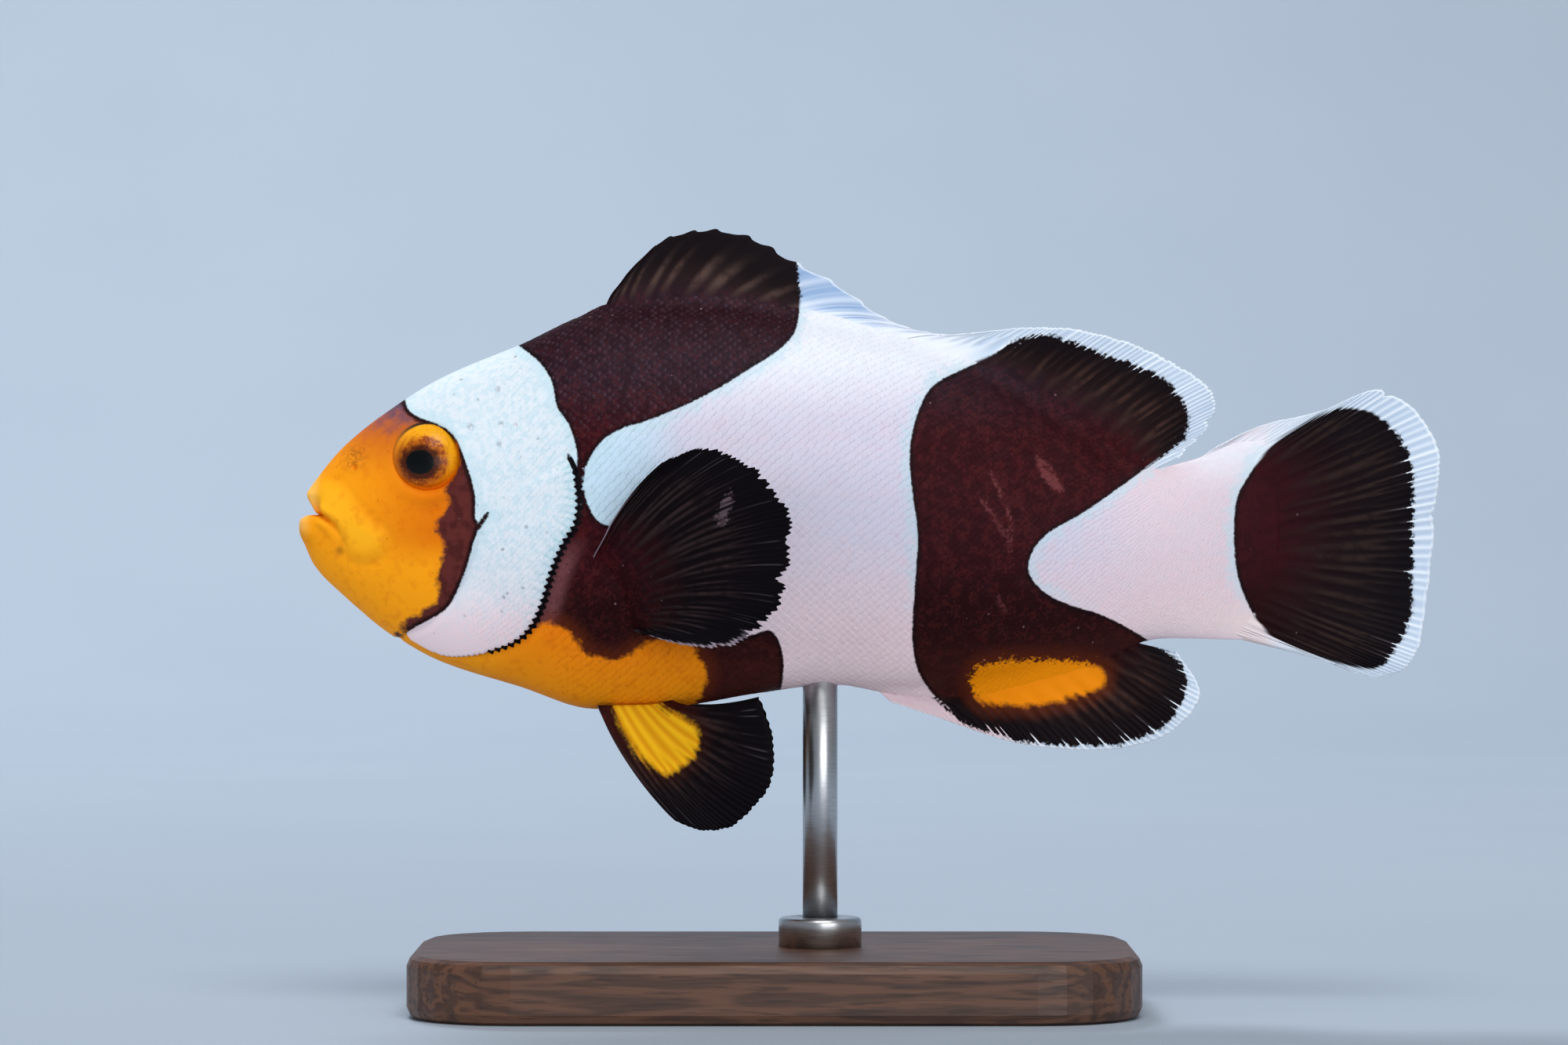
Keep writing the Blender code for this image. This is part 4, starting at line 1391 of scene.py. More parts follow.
@dataclass
class ScaleCoat:
    """Overlapping scales over the skin, in staggered columns on each side.

    Attributes:
        skin: what they grow from.
        names: the first parts of the pieces' names, from the head to the tail.
        first, last: where the scaled stretch starts and ends along X.
        rows: scales from the back to the belly.
        lift: how far a scale's rear edge stands off the skin.
        on_gill_cover: True for the small scales on the gill cover, False for the rest.
        across: points over a scale's width.
        overlap: a scale's length, in rows.
        cover_top, cover_foot: how far up and down the gill cover's scales reach.
        patch: how wide a scale is on the OFBake map.
    """

    skin: Skin
    names: tuple[str, ...]
    first: float
    last: float
    rows: int
    lift: float
    on_gill_cover: bool = False
    across: int = 5
    overlap: float = 1.45
    cover_top: float = 41.4
    cover_foot: float = 26.8
    patch: float = 0.003

    def roots(self) -> tuple[Array, ...]:
        """Where each scale of the left side grows.

        Returns:
            Its place along X, its place round its station, its length in millimetres and its
            half width in places, all from the row's pitch there.
        """
        skin = self.skin
        half = skin.around // 2
        step = np.linalg.norm(np.diff(skin.points[:, :half + 1], axis=1), axis=-1)
        reach = np.concatenate([np.zeros((len(step), 1)), np.cumsum(step, axis=1)], axis=1)
        found = []
        x, column = self.first, 0
        while x < self.last:
            run = reach[int(round(float(skin.station(x))))]
            pitch = run[-1] / self.rows
            wanted = (np.arange(self.rows) + 0.25 + 0.5 * (column % 2)) * pitch
            place = np.interp(wanted, run, np.arange(half + 1))
            found.append(np.stack([np.full(self.rows, x), place,
                                   np.full(self.rows, self.overlap * pitch),
                                   0.62 * np.gradient(place)], axis=-1))
            x += 0.52 * pitch
            column += 1
        return tuple(np.concatenate(found).T)

    def cover(self, x: Array, place: Array) -> Array:
        """How fully the scales are grown at a place: 0 none, 1 full.

        The gill cover's scales fade in from its front; the rest start behind the opening and
        fade in over the nape and out along the tail's foot.

        Args:
            x: the scales' roots along X.
            place: their places round.

        Returns:
            A share for each scale.
        """
        skin = self.skin
        station = skin.station(x)
        z = skin.sample(skin.plain[..., 2], station, place)
        ahead = skin.sample(skin.fields["gill"], station, place)
        line = skin.marks.gill_line[::-1]
        gill_x = np.interp(z, line[:, 1], line[:, 0])
        on_cover = (z < self.cover_top) & (x < gill_x) & (z > self.cover_foot)
        spine_x, spine_z = skin.marks.spine.mean(axis=0)
        bare = np.hypot(x + 0.2 - spine_x, z - spine_z) < 1.0
        if self.on_gill_cover:
            grown = ease(x, -30.6, -25.5) * ease(z, 27.0, 29.5)
            return np.where(on_cover & ~bare & (ahead > 0.45), grown, 0.0)
        front = -30.2 + 0.22 * (50.0 - z)
        rear = np.maximum(29.6 - 0.02 * (z - 35.0) ** 2, 26.5)
        grown = ease(x, front, front + 5.0) * (1.0 - ease(x, 25.0, rear))
        return np.where(~on_cover & ((x > gill_x + 0.15) | (z > self.cover_top)), grown, 0.0)

    def build(self, paint: bpy.types.Material, side: Side) -> None:
        """Makes one side's scales, as one mesh for each name.

        A scale's points lie at x + length * p * (1 - 0.45 q^2) and place + width * q, and stand
        lift * (0.1 + 0.9 p) * (1 - 0.85 q^4) off the skin; its last row drops into the skin.

        Args:
            paint: the scales' material.
            side: which side of the fish.
        """
        skin = self.skin
        x, place, length, width = self.roots()
        chance = np.random.default_rng(self.rows)
        x = x + chance.uniform(-0.07, 0.07, x.size)
        length = length * chance.uniform(0.92, 1.08, x.size)
        shade = chance.uniform(-1.0, 1.0, x.size)
        grown = self.cover(x, place)
        keep = grown > 0.04
        x, place, length, width, shade, grown = (
            row[keep, None, None] for row in (x, place, length, width, shade, grown))
        if side is Side.RIGHT:
            place = skin.around - place
        p = np.array([0.0, 0.6, 0.94, 1.0, 1.0])[None, :, None]
        q = np.linspace(-1.0, 1.0, self.across)[None, None, :]
        rows = skin.station(x + length * p * (1.0 - 0.45 * q ** 2))
        columns = place + width * q * (0.8 + 0.2 * np.sin(math.pi * p))
        height = self.lift * (0.1 + 0.9 * p) * (1.0 - 0.85 * q ** 4) * (0.3 + 0.7 * grown)
        height = height * (1.0 + 0.25 * shade)
        height[:, 0] = -0.03
        height[:, -1] = -0.01
        points = skin.sample(skin.points, rows, columns)
        points += skin.sample(skin.normals, rows, columns) * height[..., None]
        one = grid_faces(p.size, self.across)
        size = p.size * self.across
        fields = {name: skin.sample(value, rows, columns) for name, value in skin.fields.items()}
        fields["tip"] = p * grown * (1.0 - np.abs(q) ** 3) * np.ones_like(rows)
        fields["shade"] = np.clip(shade * grown, 0.0, 1.0) * np.ones_like(rows)
        uv = np.stack(np.broadcast_arrays(
            skin.station(x) / len(skin.x) + self.patch * (p - 0.5),
            place / skin.around + self.patch * 0.5 * q), axis=-1)
        stretches = np.array_split(np.arange(len(points)), len(self.names))
        for name, mine in zip(self.names, stretches):
            quads = (one[None] + size * np.arange(mine.size)[:, None, None]).reshape(-1, 4)
            piece = Piece(f"{name}_{side.name.lower()}", points[mine], quads, uv=uv[mine],
                          fields={key: value[mine] for key, value in fields.items()})
            piece.build(paint, "white_skin")


# --- fins ---
class Tone(Enum):
    """How a fin is coloured."""

    MARKED = "by the side view's markings"
    DARK = "dark all over"
    PATCHED = "dark, with a yellow patch at its foot"


@dataclass
class Fin:
    """A fin laid over a fan of rays, both faces and its ragged edge in one closed mesh.

    Attributes:
        name, nodes: the piece and the solids it stands for.
        rays: rows of (foot x, foot z, tip x, tip z, tip's reach outwards).
        count: how many rays there are.
        tone: how it is coloured.
        slot: its slot in the record.
        foot_half: half the thickness at the foot.
        ridge: how far a ray stands out of the membrane on each face.
        notch: how far the membrane falls short between the rays' tips.
        ragged: how much shorter than its neighbours a branch may be.
        bow: how far the rays bow forwards, as a share of their length.
        wave: the soft edge's waves, across the fin.
        lead: how much thicker the leading ray is.
        spines: True where each ray is one stiff spine.
        fade: the share of the ridges that is left at the foot.
        tears: places over the rays, and depths, of small splits in the edge.
        tear_width: how wide such a split is, in rays.
        membrane: half the thickness between the rays.
        full_length: the shortest ray whose ridge stands at its full height.
        foot_run: how far up a ray the body's colours may reach.
        columns_per_ray, rows: points over a ray's width and along it.
    """

    name: str
    nodes: tuple[str, ...]
    rays: Points
    count: int
    tone: Tone = Tone.MARKED
    slot: str = "dark_fin"
    foot_half: float = 0.32
    ridge: float = 0.07
    notch: float = 0.10
    ragged: float = 0.22
    bow: float = 0.0
    wave: float = 0.22
    lead: float = 0.0
    spines: bool = False
    fade: float = 0.3
    tears: Points = ()
    tear_width: float = 0.14
    membrane: float = 0.045
    full_length: float = 6.0
    foot_run: float = 2.8
    columns_per_ray: int = 16
    rows: int = 48

    def foot_reach(self, form: BodyForm, x: Array, z: Array, t: Array) -> Array:
        """How far the fin's middle lies from the body's middle plane; 0 on the midline fins."""
        return np.zeros(np.broadcast(x, t).shape)

    def comb(self, phase: Array, run: Array) -> Array:
        """1 on a ray and 0 midway between.

        A spine is cos^2(pi s). A soft ray is that too at its foot, then sin^2(2 pi s) where it
        has split in two and sin^2(4 pi s) where it has split in four.

        Args:
            phase: the place over the rays, whole at each ray.
            run: the share of the way up a ray.

        Returns:
            The comb's height.
        """
        ray = np.cos(math.pi * phase) ** 2 * np.ones_like(run)
        if self.spines:
            return ray ** 2
        pair = np.sin(2.0 * math.pi * phase) ** 2
        four = np.sin(4.0 * math.pi * phase) ** 2
        split = ray + (pair - ray) * ease(run, *FIRST_SPLIT)
        return split + (four - split) * ease(run, *SECOND_SPLIT)

    def build(self, form: BodyForm, marks: Markings, paint: bpy.types.Material,
              side: Side = Side.LEFT) -> None:
        """Makes the fin.

        With s running over the rays and t from foot to tip, the middle surface is
        foot + (tip - foot) * t * (1 - short(s)) + bow * 4t(1 - t), and each face stands off it
        by a stout foot, a thin membrane and the comb's ridges.

        Args:
            form, marks: the body's form and its markings.
            paint: the fin's material.
            side: which side of the fish.
        """
        columns = self.count * self.columns_per_ray + 1
        x0, z0, x1, z1, out = fan(self.rays, columns).T[:, None, :]
        chance = np.random.default_rng(7 + len(self.name))
        phase = np.linspace(0.0, self.count, columns)[None, :]
        phase = phase + 0.4 * (drift(chance, phase, 0.0) - 0.5)
        phase = np.clip(phase, 0.0, self.count)
        t = np.linspace(0.0, 1.0, self.rows)[:, None]
        tips = 1.0 if self.spines else 4.0
        uneven = (0.6 * drift(chance, phase * tips, 0.0)
                  + 0.4 * drift(chance, phase * tips / 3.0, 0.0))
        length = np.hypot(x1 - x0, z1 - z0)
        short = self.notch * (1.0 - self.comb(phase, np.ones_like(phase))) + self.ragged * uneven
        for place, depth in self.tears:
            short = short + depth * np.exp(-np.abs(phase - place) / self.tear_width)
        short = np.minimum(short / np.maximum(length, 0.5), 0.3)
        run = t * (1.0 - short)
        curve = self.bow * 4.0 * run * (1.0 - run)
        x = x0 + (x1 - x0) * run - curve * (z1 - z0)
        z = z0 + (z1 - z0) * run + curve * (x1 - x0)
        y = self.foot_reach(form, x0, z0, run) + out * (1.3 * run - 0.3 * run * run)
        y = y + self.wave * np.sin(phase * 1.15 + 1.6 * run) * run ** 1.5
        half = (self.foot_half * (1.0 - ease(run, 0.05, 0.50)) + self.membrane
                + self.ridge * np.minimum(length / self.full_length, 1.0) * (1.0 - 0.5 * run)
                * self.comb(phase, run)
                * (self.fade + (1.0 - self.fade) * ease(run, 0.08, 0.40))
                + self.lead * bell(phase, 0.5) * (1.0 - 0.6 * run))
        half = half * (1.0 - 0.7 * ease(t, 0.94, 1.0))
        middle = np.stack([x, -y, z], axis=-1)
        normal = grid_normals(middle)
        normal *= -np.sign(normal[..., 1:2])
        faces = [form.bend(middle + normal * half[..., None]),
                 form.bend(middle - normal * half[..., None])]
        points = np.concatenate([face.reshape(-1, 3) for face in faces])
        quads = self.shell(columns)
        if side is Side.RIGHT:
            points[:, 1] *= -1.0
            quads = quads[:, ::-1]

        fields = marks.fields(middle)
        if self.tone is not Tone.MARKED:
            fields["white"] = np.full(x.size, -5.0)
            fields["orange"] = np.full(x.size, -5.0)
        if self.tone is Tone.PATCHED:
            fields["orange"] = inside(x.ravel(), z.ravel(), marks.pelvic_patch)
        fields["ray"] = np.broadcast_to(phase, x.shape).ravel()
        fields["along"] = (run * np.minimum(length / self.foot_run, 1.0)).ravel()
        fields["strand"] = drift(chance, phase * tips + 0.5, run * 2.2).ravel()
        fields["edge"] = ((1.0 - t) * length * (1.0 - short)).ravel()
        fields = {name: np.tile(value, 2) for name, value in fields.items()}
        piece = Piece(self.name, points, quads, fields=fields)
        piece.build(paint, self.slot, self.nodes, weld=0.0005)

    def shell(self, columns: int) -> Array:
        """Quads of both faces and of the wall between their rims, all facing out.

        Args:
            columns: points over the fin.

        Returns:
            Rows of four point numbers.
        """
        count = self.rows * columns
        front = grid_faces(self.rows, columns)
        back = grid_faces(self.rows, columns, first=count)[:, ::-1]
        rim = np.concatenate([np.arange(columns),
                              np.arange(1, self.rows) * columns + columns - 1,
                              (self.rows - 1) * columns + np.arange(columns - 2, -1, -1),
                              np.arange(self.rows - 2, 0, -1) * columns])
        ahead = np.roll(rim, -1)
        wall = np.stack([rim, rim + count, ahead + count, ahead], axis=-1)
        return np.concatenate([front, back, wall])


@dataclass
class PectoralFin(Fin):
    """A pectoral fin, whose foot is sunk in the body's side.

    Attributes:
        sink, clear: how deep the foot lies in the body and how far off it the fin stands.
    """

    sink: float = 0.5
    clear: float = 0.9

    def foot_reach(self, form: BodyForm, x: Array, z: Array, t: Array) -> Array:
        """Just inside the skin at the foot, and clear of the body a little way out."""
        return form.half_width(x, z) - self.sink + (self.sink + self.clear) * ease(t, 0.0, 0.3)


@dataclass
class PelvicFin(Fin):
    """A pelvic fin, whose foot stands beside the middle of the belly.

    Attributes:
        beside: how far from the middle plane.
    """

    beside: float = 1.7

    def foot_reach(self, form: BodyForm, x: Array, z: Array, t: Array) -> Array:
        """A fixed step from the middle plane."""
        return np.full(np.broadcast(x, t).shape, self.beside)


def standing(rays: Points, edge: Points, sink: float) -> Points:
    """Rays of (foot x, tip x, tip z) given feet on the body's line, sunk into the body.

    Args:
        rays: the rays as given.
        edge: the body's line.
        sink: how far the feet are moved along Z.

    Returns:
        Rows as Fin takes them.
    """
    feet = profile(edge, np.array([ray[0] for ray in rays]))
    return [(foot, height + sink, tip_x, tip_z, 0.0)
            for (foot, tip_x, tip_z), height in zip(rays, feet)]


@dataclass
class FinSet:
    """All the fins, with the same outlines as the solids.

    Attributes:
        form, marks: the body's form and its markings.
        spiny, soft, anal: rows of (foot x, tip x, tip z), their feet on the body's line.
        tail, pectoral, pelvic: rows of (foot x, foot z, tip x, tip z, tip's reach outwards).
    """

    form: BodyForm
    marks: Markings
    spiny: Points = ((-19.8, -18.9, 53.7), (-19.2, -16.6, 56.4), (-18.0, -14.7, 57.8),
                     (-16.2, -11.8, 58.3), (-14.0, -8.6, 57.7), (-11.4, -5.4, 55.9),
                     (-8.8, -2.2, 54.2), (-5.6, 1.2, 51.7), (-2.0, 4.2, 50.5), (1.8, 6.6, 50.2))
    soft: Points = ((1.5, 6.4, 50.25), (6.8, 11.4, 50.9), (10.2, 15.6, 50.8), (13.2, 19.6, 49.8),
                    (15.8, 23.1, 48.2), (18.2, 25.8, 46.0), (19.9, 25.6, 43.6),
                    (21.0, 23.4, 41.2))
    anal: Points = ((0.2, 1.8, 22.8), (3.3, 6.0, 21.4), (6.6, 10.4, 19.9), (9.8, 14.8, 19.3),
                    (12.9, 19.2, 19.4), (15.6, 22.8, 20.7), (17.8, 24.8, 23.5),
                    (19.6, 23.2, 26.6))
    tail: Points = ((24.0, 40.6, 26.2, 42.1, 0.0), (25.1, 40.6, 29.4, 43.6, 0.0),
                    (26.2, 39.9, 33.6, 44.6, 0.1), (27.1, 38.6, 38.6, 46.2, 0.2),
                    (27.5, 36.9, 42.3, 42.4, 0.0),
                    (27.7, 35.0, 42.3, 37.0, -0.3), (27.5, 33.1, 41.8, 31.0, 0.0),
                    (27.1, 31.3, 40.7, 26.2, 0.2), (26.4, 29.7, 38.1, 24.7, 0.3),
                    (25.9, 28.9, 34.6, 25.8, 0.2), (25.6, 28.5, 31.2, 26.75, 0.1),
                    (25.2, 28.2, 27.8, 27.6, 0.0))
    pectoral: Points = ((-20.2, 33.7, -14.6, 41.1, 4.6), (-19.8, 33.1, -11.8, 41.9, 5.6),
                        (-19.4, 32.4, -8.9, 41.0, 6.6), (-19.0, 31.7, -6.6, 38.8, 7.4),
                        (-18.6, 31.0, -5.2, 35.8, 7.6), (-18.2, 30.3, -5.6, 32.4, 7.2),
                        (-17.9, 29.7, -6.6, 29.4, 6.2), (-17.6, 29.1, -8.8, 27.5, 4.9),
                        (-17.4, 28.6, -12.0, 26.9, 3.2), (-17.3, 28.2, -15.3, 27.6, 1.6))
    pelvic: Points = ((-20.2, 22.6, -14.3, 14.1, 1.6), (-19.3, 22.6, -12.4, 13.4, 2.1),
                      (-18.3, 22.6, -10.4, 13.6, 2.5), (-17.3, 22.6, -8.6, 14.9, 2.8),
                      (-16.3, 22.6, -7.2, 17.0, 2.9), (-15.4, 22.7, -7.0, 20.0, 2.7),
                      (-14.6, 22.7, -8.0, 23.2, 2.4))

    def build(self) -> None:
        """Makes every fin."""
        form, marks = self.form, self.marks
        spined = FinPaint("spiny_fin_skin", branched=False, foot=0.25, clear=0.35,
                          dark=srgb(36, 23, 24), streak=srgb(90, 70, 63),
                          gap_white=srgb(154, 184, 222), jag=0.12, thin=2.0, spikes=0.0,
                          tips=0.0).material()
        soft = FinPaint("soft_fin_skin").material()
        tail = FinPaint("tail_fin_skin", dark=srgb(19, 11, 15), streak=srgb(46, 33, 30),
                        reach=0.65, bleed=0.9, spikes=0.4).material()
        dark = FinPaint("dark_fin_skin", dark=srgb(13, 7, 10), streak=srgb(46, 34, 34),
                        halo_share=0.10, lead_line=0.5, tips=0.12).material()
        Fin("dorsal_spines", ("dorsal_fin_spiny",), standing(self.spiny, form.back, -0.3), 14,
            spines=True, ridge=0.07, notch=0.30, ragged=0.15, bow=0.07,
            wave=0.15).build(form, marks, spined)
        Fin("dorsal_rays", ("dorsal_fin_soft",), standing(self.soft, form.back, -0.3), 16,
            bow=0.04, ridge=0.05,
            tears=((13.3, 0.5), (14.4, 0.7), (15.2, 0.6))).build(form, marks, soft)
        Fin("anal_rays", ("anal_fin",), standing(self.anal, form.belly, 0.3), 14, ridge=0.05,
            notch=0.05, ragged=0.12).build(form, marks, soft)
        Fin("tail_rays", ("caudal_fin",), self.tail, 26, foot_half=0.42, wave=0.28, ridge=0.04,
            fade=0.0, notch=0.05, ragged=0.20, rows=56,
            tears=((7.2, 0.6), (12.0, 0.3), (18.5, 0.35))).build(form, marks, tail)
        for side in Side:
            label = side.name.lower()
            PectoralFin(f"pectoral_rays_{label}", (f"pectoral_fin_{label}",), self.pectoral, 18,
                        Tone.DARK, notch=0.28, ragged=0.75, bow=0.07, ridge=0.045, lead=0.12,
                        rows=56, tears=((8.4, 0.5), (10.1, 0.8), (12.6, 1.0),
                                        (13.5, 0.7))).build(form, marks, dark, side)
            PelvicFin(f"pelvic_rays_{label}", (f"pelvic_fin_{label}",), self.pelvic, 8,
                      Tone.PATCHED, "orange_fin", bow=-0.05,
                      lead=0.12).build(form, marks, dark, side)


# --- eyes ---
RING_LOW = srgb(216, 118, 10)
# painted highlight: the brighter gold on the ring's upper rear
RING_PAINTED_HIGHLIGHT = srgb(240, 164, 20)
RING_DARK = srgb(176, 92, 10)
IRIS_BROWN = srgb(148, 64, 10)
IRIS_ORANGE = srgb(206, 112, 14)
IRIS_GOLD = srgb(230, 152, 32)
GROOVE_BROWN = srgb(132, 62, 10)
SHADE_RUST = srgb(120, 50, 8)
BRIM_BROWN = srgb(52, 17, 8)
PUPIL_BLACK = srgb(3, 7, 10)
# a dark line round the eye, partly painted shade from the socket's rim
RIM_LINE_AND_SHADE_BROWN = srgb(44, 26, 14)


@dataclass(frozen=True)
class EyePaint:
    """A golden ring, a mottled orange-brown iris and a dark pupil under a wet coat, with a painted
    highlight on the ring's upper rear and a dark line round the eye that is partly painted shade.

    Attributes:
        name: the material's name.
    """

    name: str = "wet_eye"

    def material(self) -> bpy.types.Material:
        """The finished material, from the fields out, pupil and glow, in millimetres.

        Returns:
            The material.
        """
        r = Recipe(self.name)
        out, pupil, glow = r.field("out"), r.field("pupil"), r.field("glow")
        cloud, specks = r.noise(1.9, 3.0), r.noise(5.0, 3.0)
        wobble = r.product(r.less(cloud, 0.5), 0.6)
        fine = r.product(r.less(specks, 0.5), 0.5)
        # the gold lighter towards the upper rear, a painted highlight
        gold = r.layers(RING_LOW, (RING_PAINTED_HIGHLIGHT, (glow, -1.8, 1.4)),
                        (RING_DARK, (specks, 0.50, 0.66), 0.30))
        near = r.plus(pupil, r.sum("ADD", wobble, fine), 0.55)
        colour = r.layers(
            IRIS_BROWN,
            (IRIS_ORANGE, (r.sum("ADD", cloud, fine), 0.36, 0.62)),
            (IRIS_GOLD, (specks, 0.54, 0.66), 0.5),
            # the gold reaches further in on the side of the painted highlight
            (gold, (r.sum("ADD", r.plus(out, glow, 0.16), wobble), 1.60, 2.00)),
            # a dark groove ring, darkest on the lower front away from the painted highlight, partly
            # painted shade
            (GROOVE_BROWN, (out, 1.95, 2.10), (out, 2.25, 2.10), (glow, 0.8, -0.8), 0.5),
            (SHADE_RUST, (near, 1.15, 0.45), 0.55),
            (BRIM_BROWN, (near, 0.62, 0.18), 0.9),
            (PUPIL_BLACK, (r.plus(pupil, fine, 0.3), 0.10, -0.04)),
            # the dark line round the eye, darkest to the upper rear, partly painted shade from the
            # socket's rim
            (RIM_LINE_AND_SHADE_BROWN, (out, 2.42, 2.55), (r.field("rear"), -3.2, 0.6)))
        r.set(Base_Color=colour, Roughness=0.30)
        r.shader.inputs["Specular IOR Level"].default_value = 0.15
        r.shader.inputs["Coat Weight"].default_value = 0.03
        r.shader.inputs["Coat Roughness"].default_value = 0.08
        r.relief(specks, 0.02)
        return r.material


@dataclass
class Eye:
    """An eyeball flattened across the head, facing a little up and forwards.

    Attributes:
        radius, depth, bulge: the solids' eyeball.
        tilt, turn: where it faces, in degrees above and ahead of straight out.
        pupil_place, pupil_half: the pupil in the side view.
        form, marks: the body's form and its markings.
        rings, segments: points from the ball's front to its back, and round it.
    """

    form: BodyForm
    marks: Markings
    radius: float = 2.88
    depth: float = 2.08
    bulge: float = 0.60
    tilt: float = 17.0
    turn: float = 12.0
    pupil_place: tuple[float, float] = (-0.48, -0.32)
    pupil_half: tuple[float, float] = (1.02, 0.88)
    rings: int = 72
    segments: int = 96

    def build(self, paint: bpy.types.Material, side: Side) -> None:
        """Makes one eye: the flattened ball (radius sin a, depth cos a), tilted and turned.

        Its fields are read in the side view, from the eye's middle: out, the distance from it;
        pupil, the distance to the pupil's rim; glow, the run towards the upper rear, where the
        ring's painted highlight lies; and rear, the run straight back, along which the painted
        shade at the eye's rim deepens.

        Args:
            paint: the eye's material.
            side: which side of the fish.
        """
        x, z = self.marks.eye
        out = float(self.form.half_width(np.array(x), np.array(z))) + self.bulge
        back = 1.0 - out / VIEW_DISTANCE
        x = VIEW_MIDDLE[0] + (x - VIEW_MIDDLE[0]) * back
        z = VIEW_MIDDLE[1] + (z - VIEW_MIDDLE[1]) * back
        y = out - self.depth
        polar = np.linspace(0.0, math.pi, self.rings)[:, None]
        turn = np.linspace(0.0, 2.0 * math.pi, self.segments, endpoint=False)[None, :]
        flat, deep = self.radius * np.sin(polar), self.depth * np.cos(polar)
        ball = np.stack(np.broadcast_arrays(flat * np.cos(turn), -deep, flat * np.sin(turn)),
                        axis=-1)
        a, b = math.radians(self.tilt), math.radians(self.turn)
        lean = np.array([[1, 0, 0], [0, math.cos(a), math.sin(a)], [0, -math.sin(a), math.cos(a)]])
        look = np.array([[math.cos(b), math.sin(b), 0], [-math.sin(b), math.cos(b), 0], [0, 0, 1]])
        ball = ball @ (look @ lean).T
        right, up = ball[..., 0], ball[..., 2]
        px, pz = self.pupil_place
        hx, hz = self.pupil_half
        front = polar < math.pi / 2.0
        pupil = (np.hypot((right - px) / hx, (up - pz) / hz) - 1.0) * hz
        fields = {"out": np.where(front, np.hypot(right, up), 3.0),
                  "pupil": np.where(front, pupil, 5.0),
                  "glow": 0.65 * right + 0.75 * up, "rear": 0.9 * right + 0.5 * up}
        points = ball + np.array([x, -y, z])
        quads = grid_faces(self.rings, self.segments, closed=True)
        if side is Side.RIGHT:
            points[..., 1] *= -1.0
            quads = quads[:, ::-1]
        label = side.name.lower()
        piece = Piece(f"eyeball_{label}", points, quads, fields=fields)
        piece.build(paint, "eye", (f"eye_{label}",), weld=0.001)


# --- stand ---
WOOD_LIGHT = srgb(92, 60, 42)
WOOD_DARK = srgb(66, 42, 30)
WOOD_PORE = srgb(40, 25, 18)
STEEL_DULL = srgb(176, 178, 180)
STEEL_BRIGHT = srgb(200, 201, 203)


@dataclass(frozen=True)
class Walnut:
    """Oiled walnut, its grain along X.

    Attributes:
        name: the material's name.
    """

    name: str = "oiled_walnut"

    def material(self) -> bpy.types.Material:
        """The finished material.

        Returns:
            The material.
        """
        r = Recipe(self.name)
        waves = r.noise(0.32, 4.0, (0.10, 1.0, 1.0))
        rings = r.sum("SINE", r.product(waves, 46.0))
        pores = r.noise(3.2, 3.0, (0.07, 1.0, 1.0))
        colour = r.layers(WOOD_LIGHT, (WOOD_DARK, (rings, -1.0, 1.0)),
                          (WOOD_PORE, (pores, 0.54, 0.64), 0.6))
        r.set(Base_Color=colour, Roughness=r.plus(0.34, pores, 0.25))
        r.relief(pores, 0.05, 0.5)
        return r.material


@dataclass(frozen=True)
class BrushedSteel:
    """Steel brushed round its axis.

    Attributes:
        name: the material's name.
    """

    name: str = "brushed_steel"

    def material(self) -> bpy.types.Material:
        """The finished material.

        Returns:
            The material.
        """
        r = Recipe(self.name)
        lines = r.noise(2.0, 3.0, (0.4, 0.4, 14.0))
        colour = r.layers(STEEL_DULL, (STEEL_BRIGHT, (lines, 0.3, 0.7)))
        r.set(Base_Color=colour, Roughness=r.plus(0.24, lines, 0.15), Metallic=1.0)
        r.relief(lines, 0.01, 0.4)
        return r.material


@dataclass
class Stand:
    """The display stand: the solid walnut base, and a steel rod and collar turned smooth.

    Attributes:
        form: the body's form, which the rod's end goes into.
        base_top, rod_x, rod, collar, collar_height: the solids' sizes.
        plug, sink: how far the rod goes into the body and into the base.
        bevel, bead: the rod's and the collar's rounded edges.
        gap: the collar's clearance from rod and base.
        sides: points round a turned piece.
    """

    form: BodyForm
    base_top: float = 4.6
    rod_x: float = -3.6
    rod: float = 1.3
    collar: float = 3.1
    collar_height: float = 2.2
    plug: float = 1.5
    sink: float = 2.4
    bevel: float = 0.2
    bead: float = 0.35
    gap: float = 0.02
    sides: int = 96

    def turned(self, name: str, outline_points: Points) -> Piece:
        """A round piece about the rod's axis: an outline of (radius, z) times (cos, sin).

        Args:
            name: the piece's name.
            outline_points: the outline.

        Returns:
            The piece.
        """
        turn = np.linspace(0.0, 2.0 * math.pi, self.sides, endpoint=False)[None, :]
        radius, level = np.array(outline_points, float).T[:, :, None]
        points = np.stack([self.rod_x + radius * np.cos(turn), radius * np.sin(turn),
                           level * np.ones_like(turn)], axis=-1)
        return Piece(name, points, grid_faces(len(outline_points), self.sides, closed=True))

    def build(self) -> None:
        """Dresses the base and makes the rod and the collar."""
        wood, steel = Walnut().material(), BrushedSteel().material()
        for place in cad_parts["stand_base"].material_slots:
            place.material = wood
        foot = self.base_top - self.sink
        top = float(profile(self.form.belly, np.array(self.rod_x))) + self.plug
        rod, edge = self.rod, self.bevel
        self.turned("stand_post", ((0.0, foot), (rod, foot), (rod, top - edge),
                                   (rod - edge, top), (0.0, top))).build(
                                       steel, "stand_steel", ("stand_rod",), weld=0.001)
        low, high = self.base_top + self.gap, self.base_top + self.collar_height
        inner, outer = rod + self.gap, self.collar
        bead = [(outer - self.bead * (1.0 - math.cos(a)), high - self.bead * (1.0 - math.sin(a)))
                for a in np.linspace(0.0, math.pi / 2.0, 6)]
        self.turned("stand_ring", ((inner, low), (outer, low), *bead,
                                   (inner, high), (inner, low))).build(
                                       steel, "stand_steel", ("stand_collar",), weld=0.001)


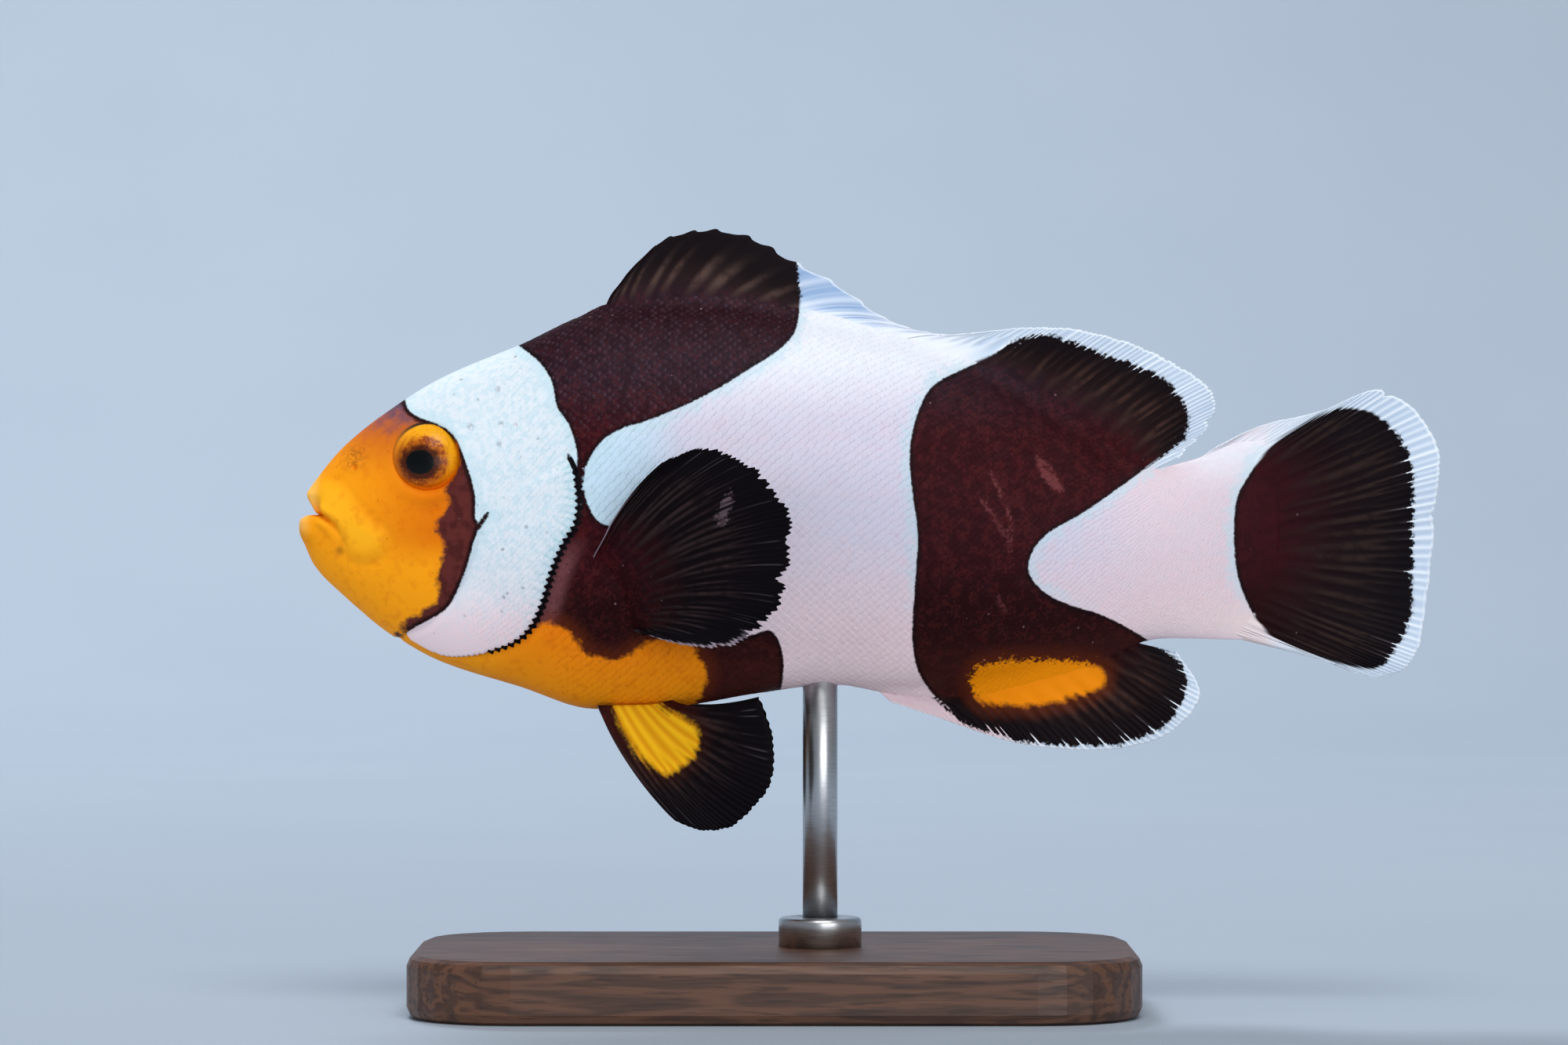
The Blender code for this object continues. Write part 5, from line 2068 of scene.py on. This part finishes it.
# --- studio ---
@dataclass
class Studio:
    """The pale sweep, the soft lights and the camera.

    Attributes:
        wide, sensor: the width the camera takes in and its sensor's, in millimetres.
        front, flat, half: how far the floor reaches forwards, back and to each side.
        curve, curve_start, wall: the curve's radius, where it starts and the wall's top.
    """

    wide: float = 117.3
    sensor: float = 36.0
    front: float = -900.0
    flat: float = 200.0
    half: float = 1600.0
    curve: float = 300.0
    curve_start: float = 500.0
    wall: float = 1400.0

    def sweep(self) -> None:
        """A floor that curves up into a backdrop: flat, a quarter circle, then upright."""
        turn = np.linspace(0.0, math.pi / 2.0, 32)
        reach = np.concatenate([[self.front, self.flat],
                                self.curve_start + self.curve * np.sin(turn),
                                [self.curve_start + self.curve]])
        level = np.concatenate([[0.0, 0.0], self.curve * (1.0 - np.cos(turn)), [self.wall]])
        across = np.array([-self.half, 0.0, self.half])
        points = np.stack(np.broadcast_arrays(across[None, :], reach[:, None], level[:, None]),
                          axis=-1)
        mesh = bpy.data.meshes.new("floor")
        mesh.from_pydata((points.reshape(-1, 3) * MM).tolist(), [],
                         grid_faces(len(reach), len(across))[:, ::-1].tolist())
        mesh.polygons.foreach_set("use_smooth", np.full(len(mesh.polygons), True))
        r = Recipe("pale_floor")
        r.set(Base_Color=r.blend(r.noise(0.02, 2.0), srgb(158, 170, 184), srgb(163, 175, 188)),
              Roughness=0.8)
        mesh.materials.append(r.material)
        placed("floor", mesh)

    def lamp(self, name: str, place: tuple[float, float, float], size: float, power: float,
             colour: Colour, mirrored: bool = True) -> None:
        """A square soft box facing the fish.

        Args:
            name: the lamp's name.
            place, size: where it stands and its side, in metres.
            power: in watts.
            colour: the light's colour.
            mirrored: True where the fish mirrors it.
        """
        light = bpy.data.lights.new(name, "AREA")
        light.size = size
        light.energy = power
        light.color = colour
        thing = placed(name, light)
        thing.location = place
        thing.visible_glossy = mirrored
        aim = Vector((VIEW_MIDDLE[0] * MM, 0.0, VIEW_MIDDLE[1] * MM)) - thing.location
        thing.rotation_euler = aim.to_track_quat("-Z", "Y").to_euler()

    def build(self) -> None:
        """Sets the floor, lights, world, camera and tone curve."""
        self.sweep()
        self.lamp("key_light", (0.10, -0.66, 1.12), 0.60, 9.2, (1.0, 0.985, 0.96))
        self.lamp("front_fill", (0.45, -1.10, 0.03), 0.80, 8.5, (0.98, 0.985, 1.0))
        self.lamp("head_fill", (-1.10, -0.60, 0.06), 0.50, 7.0, (1.0, 0.98, 0.95), False)
        self.lamp("rim_light", (-0.25, 0.60, 0.75), 0.30, 6.0, (0.94, 0.97, 1.0), False)
        world = bpy.data.worlds.new("studio")
        world.use_nodes = True
        background = world.node_tree.nodes["Background"]
        background.inputs["Color"].default_value = (0.86, 0.92, 1.0, 1.0)
        background.inputs["Strength"].default_value = 0.32
        scene = bpy.context.scene
        scene.world = world
        scene.view_settings.view_transform = "Standard"
        lens = bpy.data.cameras.new("camera")
        lens.sensor_width = self.sensor
        lens.lens = self.sensor * VIEW_DISTANCE / self.wide
        camera = placed("camera", lens)
        camera.location = (VIEW_MIDDLE[0] * MM, -VIEW_DISTANCE * MM, VIEW_MIDDLE[1] * MM)
        camera.rotation_euler = (math.pi / 2.0, 0.0, 0.0)
        scene.camera = camera


def main() -> None:
    """Builds the fish, the stand and the studio."""
    logging.basicConfig(level=logging.INFO, format="%(message)s")
    form, marks = BodyForm(), Markings()
    skin = Skin(form, marks)
    skin.shape()
    skin.build(FishPaint("fish_skin").material())
    scales = FishPaint("fish_scales", 0.50, scaly=True, bump=0.01).material()
    body_coat = ScaleCoat(skin, ("front_scales", "rear_scales"), -30.0, 29.5, 50, 0.025)
    cover_coat = ScaleCoat(skin, ("gill_cover_scales",), -30.5, -21.4, 62, 0.014,
                           on_gill_cover=True)
    eye = Eye(form, marks)
    eye_paint = EyePaint().material()
    for side in Side:
        body_coat.build(scales, side)
        cover_coat.build(scales, side)
        eye.build(eye_paint, side)
    FinSet(form, marks).build()
    Stand(form).build()
    Studio().build()


if __name__ == "__main__":
    main()
